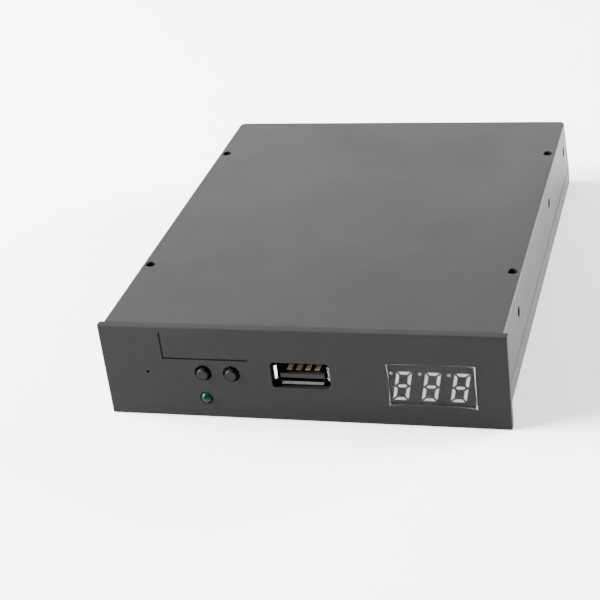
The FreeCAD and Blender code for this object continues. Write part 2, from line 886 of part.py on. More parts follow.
def make_board():
    body = new_body("circuit_board")
    wide, narrow = board_wide_right, d.board_right
    left = -d.board_left
    outline = [
        (left, board_front), (d.board_notch_x, board_front),
        (d.board_notch_x, d.board_notch_y), (wide, d.board_notch_y),
        (wide, d.board_step_y), (narrow, d.board_step_y + wide - narrow),
        (narrow, board_rear), (left, board_rear),
    ]
    pad(body, "board_plate", "z", board_face, board_back, [outline])
    small = d.board_hole_radius
    holes = []
    holes += [(x, outer_foot, small) for x in header_columns]
    holes += [(x, inner_foot, small) for x in header_columns]
    holes += [(x, power_foot, small) for x in power_columns]
    holes += [(x, jumper_front_row, small) for x in jumper_columns]
    holes += [(x, jumper_rear_row, small) for x in jumper_columns]
    holes += [(x, display_upper_foot, small) for x in display_columns]
    holes += [(x, display_lower_foot, small) for x in display_columns]
    holes += [(x, lamp_foot, small) for x in lamp_columns]
    pocket(body, "pin_holes", "z", board_face, board_back, holes)
    holes = [(x, usb_tail_y, d.usb_tail_hole) for x in usb_columns]
    for centre in button_places().values():
        holes += [(centre + x, terminal_y, d.usb_tail_hole) for x in terminal_columns]
    pocket(body, "tail_holes", "z", board_face, board_back, holes)
    slots = []
    half = d.usb_tab_depth / 2 + d.slot_clearance
    thin = d.usb_wall / 2 + d.slot_clearance
    for side in (-1, 1):
        x = d.usb_x + side * (d.usb_width / 2 - d.usb_wall / 2)
        slots += [rectangle(x - thin, x + thin, y - half, y + half) for y in usb_tabs_y]
    half = d.bracket_foot / 2 + d.slot_clearance
    thin = d.switch_plate / 2 + d.slot_clearance
    for centre in button_places().values():
        for side in (-1, 1):
            x = centre + side * bracket_side
            slots.append(rectangle(x - thin, x + thin, bracket_foot_y - half, bracket_foot_y + half))
    pocket(body, "tab_slots", "z", board_face, board_back, slots)
    screw_hole = d.board_screw_radius + d.screw_clearance
    holes = [(x, y, screw_hole) for x, y in post_places()[:4]]
    holes.append((d.well_x, d.well_y, d.case_screw_radius + d.screw_clearance))
    row_y = jumper_front_row - d.spare_row_offset
    second_y = row_y + d.pin_pitch
    holes += [(x, row_y, small) for x in spare_columns]
    holes += [(x, second_y, small) for x in spare_columns[1:]]
    pocket(body, "screw_and_spare_holes", "z", board_face, board_back, holes)
    return keep("circuit_board", body)


# Right-angle and straight pin headers
def pin_row_body(name, axis_x, profile, thickness, pitch, count):
    """Square pins: a profile in (y, z), one pin thick along X, repeated along X."""
    body = new_body(name)
    half = thickness / 2
    pin = pad(body, name + "_pin", "x", axis_x - half, axis_x + half, [profile])
    row_of(body, pin, name + "_row", "X", pitch, count)
    return keep(name, body)


def bent_pin(row_z, foot_y, tip_y, half):
    """A right-angle pin: from its tip forward over the board and up through it."""
    taper = half / 2
    return [
        (foot_y - half, row_z - half),
        (tip_y - d.pin_taper, row_z - half),
        (tip_y, row_z - taper),
        (tip_y, row_z + taper),
        (tip_y - d.pin_taper, row_z + half),
        (foot_y + half, row_z + half),
        (foot_y + half, tail_end),
        (foot_y - half, tail_end),
    ]


def make_data_header():
    body = new_body("data_header_base")
    end = d.pin_pitch / 2
    left = header_first_x - end
    right = header_columns[-1] + end
    low = board_face - d.header_base_rise
    pad(body, "header_bar", "y", header_base_front, header_base_rear,
        [rectangle(left, right, low, board_face)])
    half = half_pin + d.pin_fit
    for label, z in (("outer", outer_row), ("inner", inner_row)):
        hole = rectangle(header_first_x - half, header_first_x + half, z - half, z + half)
        first = pocket(body, label + "_pin_hole", "y", header_base_front, header_base_rear, [hole])
        row_of(body, first, label + "_pin_holes", "X", d.pin_pitch, d.header_count)
    half = d.header_groove / 2
    centre = header_first_x + end
    groove = rectangle(centre - half, centre + half, low, low + d.header_groove)
    first = pocket(body, "header_groove", "y", header_base_front, header_base_rear, [groove])
    row_of(body, first, "header_grooves", "X", d.pin_pitch, d.header_count - 1)
    keep("data_header_base", body)
    for name, row, foot in (
        ("data_header_pins_outer", outer_row, outer_foot),
        ("data_header_pins_inner", inner_row, inner_foot),
    ):
        profile = bent_pin(row, foot, header_tip, half_pin)
        pin_row_body(name, header_first_x, profile, d.pin_width, d.pin_pitch, d.header_count)


def make_power_header():
    body = new_body("power_header_housing")
    low = board_face - d.power_block_rise
    pad(body, "power_block", "y", power_block_front, power_block_rear,
        [rectangle(power_left, power_right, low, board_face)])
    tray_top = power_row + d.power_tray_below_row
    tray_end = d.drive_depth - d.power_tray_gap
    tray_low = tray_top + d.power_tray_thickness
    tray_front = board_rear + d.screw_clearance
    pad(body, "power_tray", "y", power_block_rear, tray_end,
        [rectangle(power_left, power_right, tray_top, tray_low)])
    pad(body, "power_tray_root", "y", tray_front, power_block_rear,
        [rectangle(power_left, power_right, tray_top, tray_low)])
    rib = d.power_rib
    for side, edge in (("left", power_left), ("right", power_right - rib)):
        pad(body, f"power_{side}_rail", "y", power_block_rear, tray_end,
            [rectangle(edge, edge + rib, tray_top - rib, tray_top)])
    centre = power_first_x - d.power_pitch / 2
    ridge = rectangle(centre - rib / 2, centre + rib / 2, low + rib, tray_top)
    first = pad(body, "power_ridge", "y", power_block_rear, power_block_rear + rib, [ridge])
    row_of(body, first, "power_ridges", "X", d.power_pitch, d.power_count + 1)
    half = d.power_pin_width / 2 + d.pin_fit
    foot = power_foot
    hole = rectangle(power_first_x - half, power_first_x + half, power_row - half, power_row + half)
    first = pocket(body, "power_pin_hole", "y", foot - half, power_block_rear, [hole])
    row_of(body, first, "power_pin_holes", "X", d.power_pitch, d.power_count)
    shaft = rectangle(power_first_x - half, power_first_x + half, foot - half, foot + half)
    first = pocket(body, "power_foot_hole", "z", power_row - half, board_face, [shaft])
    row_of(body, first, "power_foot_holes", "X", d.power_pitch, d.power_count)
    keep("power_header_housing", body)
    profile = bent_pin(power_row, foot, d.drive_depth - d.power_tip_gap, d.power_pin_width / 2)
    pin_row_body("power_header_pins", power_first_x, profile, d.power_pin_width,
                 d.power_pitch, d.power_count)


def make_jumper_header():
    body = new_body("jumper_header_base")
    end = d.pin_pitch / 2
    pad(body, "jumper_bar", "z", jumper_base_face, board_face,
        [rectangle(jumper_first_x - end, jumper_columns[-1] + end,
                   jumper_front_row - end, jumper_rear_row + end)])
    half = half_pin + d.pin_fit
    holes = [
        rectangle(jumper_first_x - half, jumper_first_x + half, y - half, y + half)
        for y in (jumper_front_row, jumper_rear_row)
    ]
    first = pocket(body, "jumper_pin_hole", "z", jumper_base_face, board_face, holes)
    row_of(body, first, "jumper_pin_holes", "X", d.pin_pitch, d.jumper_count)
    keep("jumper_header_base", body)
    pins = new_body("jumper_header_pins")
    x = jumper_first_x
    taper = half_pin / 2
    spike = [
        (x - half_pin, tail_end), (x + half_pin, tail_end),
        (x + half_pin, jumper_tip + d.pin_taper), (x + taper, jumper_tip),
        (x - taper, jumper_tip), (x - half_pin, jumper_tip + d.pin_taper),
    ]
    for label, y in (("front", jumper_front_row), ("rear", jumper_rear_row)):
        first = pad(pins, f"jumper_{label}_pin", "y", y - half_pin, y + half_pin, [spike])
        row_of(pins, first, f"jumper_{label}_pins", "X", d.pin_pitch, d.jumper_count)
    keep("jumper_header_pins", pins)


# Jumper caps: a closed plastic cap over two pins, with a spring clip of two sleeves inside
def make_jumper(label, x, y, across):
    """Cap and clip over two neighbouring pins; across says if they lie along X."""
    reach = d.pin_pitch / 2
    top = jumper_base_face - d.cap_gap
    low = top - d.cap_height
    clip_low = top - d.clip_length
    sleeve = half_pin + d.clip_clearance
    shell = sleeve + d.clip_wall
    if across:
        centres = [(x - reach, y), (x + reach, y)]
    else:
        centres = [(x, y - reach), (x, y + reach)]

    def square(name, centre, half, z):
        cx, cy = centre
        return block(name, (cx - half, cx + half), (cy - half, cy + half), z)

    def bar(name, half_long, half_thin, z):
        long_side, thin_side = (x, y) if across else (y, x)
        long_range = (long_side - half_long, long_side + half_long)
        thin_range = (thin_side - half_thin, thin_side + half_thin)
        ranges = (long_range, thin_range) if across else (thin_range, long_range)
        return block(name, *ranges, z)

    half = d.cap_width / 2
    outside = bar(f"{label}_cap_block", reach + half, half, (low, top))
    tools = []
    for number, centre in enumerate(centres, start=1):
        tools.append(square(f"{label}_cap_socket_{number}", centre, shell, (clip_low, top)))
        tools.append(square(f"{label}_cap_hole_{number}", centre, sleeve, (low, clip_low)))
    bridge = bar(f"{label}_cap_slot", reach, d.clip_bridge / 2, (clip_low, top))
    keep(f"jumper_cap_{label}", cut(f"{label}_cap", outside, tools + [bridge]))
    sleeves = [square(f"{label}_sleeve_{k}", c, shell, (clip_low, top)) for k, c in enumerate(centres)]
    bridge = bar(f"{label}_bridge", reach, d.clip_bridge / 2, (clip_low, top))
    holes = [square(f"{label}_bore_{k}", c, sleeve, (clip_low, top)) for k, c in enumerate(centres)]
    clip = cut(f"{label}_clip", join(f"{label}_clip_outside", sleeves + [bridge]), holes)
    keep(f"jumper_clip_{label}", clip)


# USB port: folded metal shell with a flared lip on each side, notched corners and solder
# tabs, plastic tongue with its block, contacts
def lip(front, back, outside, wall, flare):
    """Wedges that bend a wall's front outwards: what is added outside and cut away inside."""
    added = [(front, outside), (back, outside), (front, outside + flare)]
    inside = outside - wall
    removed = [(front, inside), (back, inside), (front, inside + flare)]
    return added, removed


def turned(shape):
    """Swap a shape's two directions."""
    return [(b, a) for a, b in shape]


def make_usb():
    body = new_body("usb_shell")
    half = d.usb_width / 2
    x, wall = d.usb_x, d.usb_wall
    pad(body, "usb_tube", "y", usb_front, usb_rear,
        [rectangle(x - half, x + half, usb_low, board_face)])
    pocket(body, "usb_socket", "y", usb_front, usb_rear,
           [rectangle(x - half + wall, x + half - wall, usb_inside_low, usb_inside_high)])
    flare = d.usb_lip_flare
    tall = d.usb_lip_tall / 2
    middle_low, middle_high = usb_middle_z - tall, usb_middle_z + tall
    side_lips = [
        lip(usb_front, lip_back, x + side * half, side * wall, side * flare) for side in (-1, 1)
    ]
    pad(body, "usb_side_lips", "z", middle_low, middle_high, [turned(shape) for shape, _ in side_lips])
    pocket(body, "usb_side_mouth", "z", middle_low, middle_high, [turned(shape) for _, shape in side_lips])
    wide = d.usb_lip_wide / 2
    level_lips = [lip(usb_front, lip_back, z, side * wall, side * flare)
                  for side, z in ((-1, usb_low), (1, board_face))]
    pad(body, "usb_level_lips", "x", x - wide, x + wide, [shape for shape, _ in level_lips])
    pocket(body, "usb_level_mouth", "x", x - wide, x + wide, [shape for _, shape in level_lips])
    reach = d.usb_height / 2 + wall
    notches = [
        rectangle(x + side * wide, x + side * (half + wall),
                  usb_middle_z + level * tall, usb_middle_z + level * reach)
        for side in (-1, 1) for level in (-1, 1)
    ]
    pocket(body, "usb_corner_notches", "y", usb_front, usb_front + d.usb_notch_depth, notches)
    tabs = []
    deep = d.usb_tab_depth / 2
    for y in usb_tabs_y:
        tabs.append(rectangle(y - deep, y + deep, usb_middle_z, tail_end - d.usb_tab_short))
    pad(body, "usb_left_tabs", "x", x - half, x - half + wall, tabs)
    pad(body, "usb_right_tabs", "x", x + half - wall, x + half, tabs)
    gap = d.usb_spring_gap
    for label, side in (("left", -1), ("right", 1)):
        centre = x + side * d.usb_spring_spacing / 2
        wide = d.usb_spring_width / 2
        front, rear = usb_front + d.usb_spring_front, usb_front + d.usb_spring_rear
        leaf = [
            (centre - wide - gap, front - gap), (centre + wide + gap, front - gap),
            (centre + wide + gap, rear), (centre + wide, rear), (centre + wide, front),
            (centre - wide, front), (centre - wide, rear), (centre - wide - gap, rear),
        ]
        pocket(body, f"usb_{label}_spring", "z", usb_low, usb_inside_low, [leaf])
    keep("usb_shell", body)

    tongue = new_body("usb_tongue")
    half = d.usb_tongue_width / 2
    front = usb_front + d.usb_tongue_recess
    block_front = usb_rear - d.usb_block_depth
    inner = d.usb_width / 2 - wall
    pad(tongue, "usb_block", "y", block_front, usb_rear,
        [rectangle(x - inner, x + inner, usb_inside_low, usb_inside_high)])
    bevel = d.usb_tongue_bevel
    side = [
        (front, tongue_low + bevel), (front + bevel, tongue_low), (block_front, tongue_low),
        (block_front, tongue_high), (front + bevel, tongue_high), (front, tongue_high - bevel),
    ]
    pad(tongue, "usb_tongue_bar", "x", x - half, x + half, [side])
    strip = d.usb_contact_width / 2
    first_x = usb_first_x
    thick = d.usb_contact_thickness
    slot = rectangle(first_x - strip, first_x + strip, tongue_high, tongue_high + thick)
    first = pocket(tongue, "usb_slot", "y", block_front, usb_rear, [slot])
    row_of(tongue, first, "usb_slots", "X", d.usb_contact_pitch, d.usb_contact_count)
    keep("usb_tongue", tongue)

    front = front + d.usb_contact_setback
    tail = usb_tail_y + thick / 2
    profile = [
        (front, tongue_high), (tail, tongue_high), (tail, tail_end),
        (tail - thick, tail_end), (tail - thick, tongue_high + thick),
        (front, tongue_high + thick),
    ]
    contacts = new_body("usb_contacts")
    first = pad(contacts, "usb_contact", "x", first_x - strip, first_x + strip, [profile])
    row_of(contacts, first, "usb_contact_row", "X", d.usb_contact_pitch, d.usb_contact_count)
    keep("usb_contacts", contacts)


# Display: housing with sunk segments and points, protective film, bent pins
def slanted(x, rise, centre_x):
    """A point of a leaning digit, from its place beside and above the digit's centre."""
    return (centre_x + x + d.digit_slant * rise, digit_z + rise)


def digit_segments(centre_x):
    """The seven segments of one digit, mitred at its corners and pointed at its middle."""
    wide, tall = d.digit_width / 2, d.digit_height / 2
    stroke, gap, tip_gap = d.segment_width, d.segment_gap, d.segment_tip_gap
    inner_x, inner_z = wide - stroke, tall - stroke
    half, quarter = stroke / 2, stroke / 4
    tip = wide - half - gap
    outlines = [[
        (-tip, 0), (half - tip, -half), (tip - half, -half),
        (tip, 0), (tip - half, half), (half - tip, half),
    ]]
    for level in (-1, 1):
        outer, inner = level * tall, level * inner_z
        outlines.append([
            (gap - wide, outer), (wide - gap, outer), (inner_x - gap, inner), (gap - inner_x, inner),
        ])
        for side in (-1, 1):
            outlines.append([
                (side * wide, level * (tall - gap)),
                (side * wide, level * (tip_gap + quarter)),
                (side * (wide - quarter), level * tip_gap),
                (side * inner_x, level * (tip_gap + stroke - quarter)),
                (side * inner_x, level * (inner_z - gap)),
            ])
    return [[slanted(x, rise, centre_x) for x, rise in corners] for corners in outlines]


def make_display():
    half = d.display_width / 2
    tall = d.display_height / 2
    x, z = d.display_x, d.display_z
    digit_x = x - d.digit_shift - d.digit_pitch
    outlines = digit_segments(digit_x)
    point = [(digit_x - d.point_left, digit_z + d.point_rise, d.point_radius)]
    bottom = display_front + d.segment_depth

    housing = new_body("display_housing")
    pad(housing, "display_block", "y", display_front, display_back,
        [rectangle(x - half, x + half, z - tall, z + tall)])
    first = pocket(housing, "digit_recess", "y", display_front, bottom, outlines)
    row_of(housing, first, "digit_recesses", "X", d.digit_pitch, d.digit_count)
    first = pocket(housing, "point_recess", "y", display_front, bottom, point)
    row_of(housing, first, "point_recesses", "X", d.digit_pitch, d.digit_count)
    keep("display_housing", housing)

    segments = new_body("display_segments")
    first = pad(segments, "digit", "y", display_front, bottom, outlines)
    row_of(segments, first, "digits", "X", d.digit_pitch, d.digit_count)
    keep("display_segments", segments)

    points = new_body("display_points")
    first = pad(points, "point", "y", display_front, bottom, point)
    row_of(points, first, "points", "X", d.digit_pitch, d.digit_count)
    keep("display_points", points)

    film = new_body("display_film")
    reach = d.display_clearance + d.film_margin
    pad(film, "film_sheet", "y", -d.film_thickness, 0,
        [rectangle(x - half - reach, x + half + reach, z - tall - reach, z + tall + reach)])
    keep("display_film", film)

    pins = new_body("display_pins")
    thin = d.display_pin_width / 2
    for label, row_z, foot in (
        ("upper", display_upper_z, display_upper_foot),
        ("lower", display_lower_z, display_lower_foot),
    ):
        profile = [
            (display_back, row_z - thin), (foot + thin, row_z - thin),
            (foot + thin, tail_end), (foot - thin, tail_end),
            (foot - thin, row_z + thin), (display_back, row_z + thin),
        ]
        low, high = display_first_x - thin, display_first_x + thin
        first = pad(pins, f"display_{label}_pin", "x", low, high, [profile])
        row_of(pins, first, f"display_{label}_row", "X", d.pin_pitch, d.display_pin_count)
    keep("display_pins", pins)


# Buttons: each is the stem of a side-facing tact switch on the board
def make_switch(side, x):
    flange_front = switch_front + d.switch_plate
    flange_back = flange_front + d.flange_thickness
    cavity_end = flange_back + d.button_travel + d.dome_gap + d.dome_thickness
    face = -d.button_proud
    bevel = d.button_bevel
    stem = [
        (as_size(0), face), (d.button_radius - bevel, face), (d.button_radius, face + bevel),
        (d.button_radius, flange_front), (d.flange_radius, flange_front),
        (d.flange_radius, flange_back), (as_size(0), flange_back),
    ]
    body = new_body(f"{side}_button")
    spin(body, f"{side}_stem", x, d.button_z, stem)
    keep(f"{side}_button", body)

    half = d.switch_width / 2
    low = d.button_z * 2 - board_face
    housing = new_body(f"{side}_switch_housing")
    pad(housing, f"{side}_switch_block", "y", flange_front, switch_back,
        [rectangle(x - half, x + half, low, board_face)])
    pocket(housing, f"{side}_switch_cavity", "y", flange_front, cavity_end,
           [(x, d.button_z, d.switch_cavity_radius)])
    keep(f"{side}_switch_housing", housing)

    dome = new_body(f"{side}_switch_dome")
    pad(dome, f"{side}_dome_disc", "y", cavity_end - d.dome_thickness, cavity_end,
        [(x, d.button_z, d.dome_radius)])
    keep(f"{side}_switch_dome", dome)

    plate = d.switch_plate
    bracket = new_body(f"{side}_switch_bracket")
    pad(bracket, f"{side}_bracket_face", "y", switch_front, flange_front,
        [rectangle(x - half - plate, x + half + plate, low, board_face)])
    pocket(bracket, f"{side}_bracket_hole", "y", switch_front, flange_front,
           [(x, d.button_z, d.button_radius + d.stem_clearance)])
    foot = d.bracket_foot / 2
    leg = [
        (flange_front, low), (switch_back, low), (switch_back, board_face),
        (bracket_foot_y + foot, board_face), (bracket_foot_y + foot, tail_end),
        (bracket_foot_y - foot, tail_end), (bracket_foot_y - foot, board_face),
        (flange_front, board_face),
    ]
    pad(bracket, f"{side}_bracket_left_leg", "x", x - half - plate, x - half, [leg])
    pad(bracket, f"{side}_bracket_right_leg", "x", x + half, x + half + plate, [leg])
    keep(f"{side}_switch_bracket", bracket)


def make_terminals():
    """The four solder terminals of the two switches, flat against their backs."""
    body = new_body("switch_terminals")
    half = d.terminal_width / 2
    strips = []
    for centre in button_places().values():
        for x in terminal_columns:
            strips.append(rectangle(centre + x - half, centre + x + half, d.button_z, tail_end))
    pad(body, "terminal_strips", "y", switch_back, switch_back + d.switch_plate, strips)
    keep("switch_terminals", body)


# Lamp: a lens with a rim, two bent leads, and the holder that stands them off the board
def make_lamp():
    body = new_body("lamp_lens")
    radius, rim = d.lamp_radius, d.lamp_radius + d.lamp_flange
    front, back = -d.lamp_proud, lamp_back
    lens = [
        (as_size(0), front), (radius, front),
        (radius, back - d.lamp_rim_depth), (rim, back - d.lamp_rim_depth), (rim, back),
        (as_size(0), back),
    ]
    spin(body, "lens", d.lamp_x, d.lamp_z, lens)
    round_edges(body, "lens_dome", d.lamp_dome_radius, foremost_edge(front))
    keep("lamp_lens", body)
    thin = d.lamp_lead / 2
    profile = [
        (lamp_back, d.lamp_z - thin), (lamp_foot + thin, d.lamp_z - thin),
        (lamp_foot + thin, tail_end), (lamp_foot - thin, tail_end),
        (lamp_foot - thin, d.lamp_z + thin), (lamp_back, d.lamp_z + thin),
    ]
    pin_row_body("lamp_leads", lamp_first_x, profile, d.lamp_lead, d.pin_pitch, d.lamp_lead_count)
    holder = new_body("lamp_holder")
    half = d.lamp_holder_width / 2
    deep = d.lamp_holder_depth / 2
    low = board_face - d.lamp_holder_height
    pad(holder, "lamp_holder_block", "z", low, board_face,
        [rectangle(d.lamp_x - half, d.lamp_x + half, lamp_foot - deep, lamp_foot + deep)])
    bore = thin + d.pin_fit
    holes = [rectangle(x - bore, x + bore, lamp_foot - bore, lamp_foot + bore) for x in lamp_columns]
    pocket(holder, "lamp_holder_holes", "z", low, board_face, holes)
    keep("lamp_holder", holder)


# Chips and small parts on the board's lower face
def gull_row(body, name, axis, edge, side, first, count):
    """A row of bent flat leads along one side of a chip; side is 1 or -1."""
    thick = d.lead_thickness
    middle_z = board_face - d.chip_height / 2
    shoulder = edge + side * d.lead_shoulder
    inner = shoulder - side * thick
    toe = shoulder + side * d.lead_foot
    profile = [
        (edge, middle_z - thick / 2), (shoulder, middle_z - thick / 2),
        (shoulder, board_face - thick), (toe, board_face - thick),
        (toe, board_face), (inner, board_face),
        (inner, middle_z + thick / 2), (edge, middle_z + thick / 2),
    ]
    half = d.lead_width / 2
    across = "y" if axis == "Y" else "x"
    lead = pad(body, name, across, first - half, first + half, [profile])
    pitch = d.fine_pitch if count.formula == d.fine_count.formula else d.coarse_pitch
    row_of(body, lead, name + "_row", axis, pitch, count)


def chip_block(label, x, y, half_x, half_y, low, high):
    body = new_body(label)
    pad(body, label + "_block", "z", low, high,
        [rectangle(x - half_x, x + half_x, y - half_y, y + half_y)])
    return body


def make_chips():
    low = board_face - d.chip_height
    high = board_face - d.chip_standoff
    x, y, half = d.controller_x, d.controller_y, d.controller_width / 2
    keep("microcontroller", chip_block("microcontroller", x, y, half, half, low, high))
    leads = new_body("microcontroller_leads")
    span = d.fine_pitch * (d.fine_count - 1) / 2
    gull_row(leads, "right_leads", "Y", x + half, 1, y - span, d.fine_count)
    gull_row(leads, "left_leads", "Y", x - half, -1, y - span, d.fine_count)
    gull_row(leads, "rear_leads", "X", y + half, 1, x - span, d.fine_count)
    gull_row(leads, "front_leads", "X", y - half, -1, x - span, d.fine_count)
    keep("microcontroller_leads", leads)

    bodies = new_body("buffer_chips")
    leads = new_body("buffer_leads")
    half, long_half = d.buffer_width / 2, d.buffer_length / 2
    span = d.coarse_pitch * (d.coarse_count - 1) / 2
    for label, x in (("left", d.buffer_left_x), ("right", d.buffer_right_x)):
        y = bay_front - d.buffer_gap
        pad(bodies, f"{label}_buffer", "z", low, high,
            [rectangle(x - half, x + half, y - long_half, y + long_half)])
        gull_row(leads, f"{label}_buffer_right", "Y", x + half, 1, y - span, d.coarse_count)
        gull_row(leads, f"{label}_buffer_left", "Y", x - half, -1, y - span, d.coarse_count)
    keep("buffer_chips", bodies)
    keep("buffer_leads", leads)


def make_passives():
    resistor_y = bay_front - d.resistor_gap
    x, y = d.crystal_x, (d.controller_y + d.controller_width / 2 + resistor_y) / 2
    half_x, half_y = d.crystal_length / 2, d.crystal_width / 2
    body = chip_block("crystal", x, y, half_x, half_y, board_face - d.crystal_height, board_face)
    round_edges(body, "crystal_corners", d.crystal_corner, upright_edge)
    keep("crystal", body)

    cans = new_body("capacitor_cans")
    bases = new_body("capacitor_bases")
    base_low = board_face - d.can_base_height
    first_y = bay_front - d.can_gap
    centres = [(d.can_x, first_y), (d.can_x, first_y + d.can_spacing)]
    pad(cans, "cans", "z", board_face - d.can_height, base_low,
        [(x, y, d.can_radius) for x, y in centres])
    half = d.can_radius + d.can_base_margin
    pad(bases, "can_bases", "z", base_low, board_face,
        [rectangle(x - half, x + half, y - half, y + half) for x, y in centres])
    keep("capacitor_cans", cans)
    keep("capacitor_bases", bases)

    small = new_body("chip_capacitors")
    x, y = d.chip_cap_x, d.chip_cap_y
    half_x, half_y = d.chip_cap_length / 2, d.chip_cap_width / 2
    first = pad(small, "chip_capacitor", "z", board_face - d.chip_cap_height, board_face,
                [rectangle(x - half_x, x + half_x, y - half_y, y + half_y)])
    row_of(small, first, "chip_capacitor_row", "X", d.passive_spacing, d.chip_cap_count)
    keep("chip_capacitors", small)

    small = new_body("chip_resistors")
    x, y = d.resistor_x, resistor_y
    half_x, half_y = d.resistor_length / 2, d.resistor_width / 2
    first = pad(small, "chip_resistor", "z", board_face - d.resistor_height, board_face,
                [rectangle(x - half_x, x + half_x, y - half_y, y + half_y)])
    row_of(small, first, "chip_resistor_row", "X", d.passive_spacing, d.resistor_count)
    keep("chip_resistors", small)


# Screws: heads below, shanks up into the posts
def screw(name, x, y, seat, shank_radius, length, head_radius, head_height):
    head = rod(f"{name}_head", head_radius, x, y, seat - head_height, seat)
    shank = rod(f"{name}_shank", shank_radius, x, y, seat, seat + length)
    slot = d.recess_width / 2
    reach = head_radius * d.recess_share
    low = seat - head_height
    high = low + head_height * d.recess_depth_share
    slots = [
        block(f"{name}_slot_x", (x - reach, x + reach), (y - slot, y + slot), (low, high)),
        block(f"{name}_slot_y", (x - slot, x + slot), (y - reach, y + reach), (low, high)),
    ]
    return cut(name, join(f"{name}_solid", [head, shank]), slots)


def make_screws():
    screws = [
        screw(f"board_screw_{number}", x, y, board_face, d.board_screw_radius,
              d.board_screw_length, d.board_screw_head_radius, d.board_screw_head_height)
        for number, (x, y) in enumerate(post_places()[:4], start=1)
    ]
    keep("board_screws", gather("board_screw_set", screws))
    keep("case_screw", screw("case_screw", d.well_x, d.well_y, well_seat, d.case_screw_radius,
                             d.case_screw_length, d.case_screw_head_radius, d.case_screw_head_height))


make_upper_case()
make_lower_cover()
make_bezel()
make_board()
make_data_header()
make_power_header()
make_jumper_header()
make_jumper("end", jumper_first_x + d.pin_pitch / 2, jumper_front_row, True)
make_jumper("middle", jumper_columns[5], jumper_middle, False)
make_usb()
make_display()
for side_name, centre_x in button_places().items():
    make_switch(side_name, centre_x)
make_terminals()
make_lamp()
make_chips()
make_passives()
make_screws()

doc.recompute()
problems = []
for item in doc.Objects:
    if "Invalid" in item.State or "Error" in item.State:
        problems.append(f"{item.Name}: {item.State}")
for label, piece in SUB_PARTS.items():
    if piece.Shape.isNull() or not piece.Shape.isValid():
        problems.append(f"{label}: shape is not valid")
    print(label, len(piece.Shape.Solids), "solids", round(piece.Shape.Volume, 2), "mm3")
if problems:
    raise RuntimeError("; ".join(problems))

os.makedirs("parts", exist_ok=True)
for label, piece in SUB_PARTS.items():
    piece.Shape.exportStep(f"parts/{label}.step")
print(len(SUB_PARTS), "sub-parts written")
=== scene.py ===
# %% [markdown]
# # A floppy drive emulator in the studio
# The CAD model already holds every piece of the drive at its true size and place. This lesson
# gives those pieces their looks: moulded plastic, a green circuit board, plated pins, a
# three-digit display under a clear film. Small things that CAD leaves out, such as copper
# tracks and printed lines, are built here in mesh code.

# %% The frame and its size
import json
import math

import bmesh
import bpy
from mathutils import Matrix, Vector


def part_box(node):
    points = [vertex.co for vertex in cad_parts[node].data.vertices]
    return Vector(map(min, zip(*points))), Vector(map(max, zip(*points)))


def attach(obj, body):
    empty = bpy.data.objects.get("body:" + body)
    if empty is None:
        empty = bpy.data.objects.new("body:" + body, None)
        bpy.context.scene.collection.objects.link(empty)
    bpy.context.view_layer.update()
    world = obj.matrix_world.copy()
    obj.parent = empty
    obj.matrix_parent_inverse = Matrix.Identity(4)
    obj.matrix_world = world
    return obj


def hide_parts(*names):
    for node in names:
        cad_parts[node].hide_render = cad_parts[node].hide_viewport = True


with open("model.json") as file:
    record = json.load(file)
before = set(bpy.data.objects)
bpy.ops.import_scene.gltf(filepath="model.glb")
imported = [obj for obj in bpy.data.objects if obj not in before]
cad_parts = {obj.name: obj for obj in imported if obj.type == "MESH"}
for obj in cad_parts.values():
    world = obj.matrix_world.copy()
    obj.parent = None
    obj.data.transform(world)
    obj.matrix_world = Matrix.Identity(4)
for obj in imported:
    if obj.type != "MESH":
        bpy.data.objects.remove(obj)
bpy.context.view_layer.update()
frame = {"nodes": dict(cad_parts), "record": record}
nodes = frame["nodes"]
MM = 0.001

# %% [markdown]
# ## Places to build on
# Everything added here is measured from the CAD pieces, so that it still fits if a size
# changes. The drive is measured as it stands in the picture: x across the bezel, y back from
# the bezel's front face, z up from the bezel's lower edge, all in millimetres.

# %% Places read from the CAD pieces
def low(node):
    """The lowest corner of a CAD piece, in millimetres."""
    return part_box(node)[0] / MM


def high(node):
    """The highest corner of a CAD piece, in millimetres."""
    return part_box(node)[1] / MM


bezel_front = low("front_bezel").y
drive_rear = high("lower_cover").y
case_floor = low("lower_cover").z
board_face = low("circuit_board").z


def at(x, y, z):
    """A place given as x, distance behind the bezel's front, and height, in metres."""
    return Vector((x, y + bezel_front, z)) * MM


print("bezel front at y", round(bezel_front, 2), "board face at z", round(board_face, 2))

# %% [markdown]
# ## A short way to write shaders
# A procedural finish is a small graph of nodes. Writing each node and link in full hides the
# idea behind the bookkeeping, so one class keeps the material and its main shader, and a
# second adds the few patterns that every finish here uses: noise, colour ramp, mixing, sums
# and bump. Rarer patterns are written where they are first needed.

# %% A material and its main shader
class Shader:
    """A material with its main shader, and short calls that add nodes to it."""

    def __init__(self, name, **values):
        self.material = bpy.data.materials.new(name)
        self.material.use_nodes = True
        self.tree = self.material.node_tree
        self.main = self.tree.nodes["Principled BSDF"]
        self.place = self.add("ShaderNodeTexCoord").outputs["Object"]
        self.set(**values)

    def add(self, kind, **settings):
        node = self.tree.nodes.new(kind)
        for key, value in settings.items():
            setattr(node, key, value)
        return node

    def link(self, source, target):
        self.tree.links.new(source, target)

    def feed(self, socket, value):
        """Link another node's output to a socket, or write a plain value in it."""
        if isinstance(value, bpy.types.NodeSocket):
            self.link(value, socket)
        elif socket.type == "RGBA":
            socket.default_value = (*value, 1.0)
        else:
            socket.default_value = value

    def set(self, **values):
        """Set sockets of the main shader; a name's underscores stand for spaces."""
        for key, value in values.items():
            self.feed(self.main.inputs[key.replace("_", " ")], value)


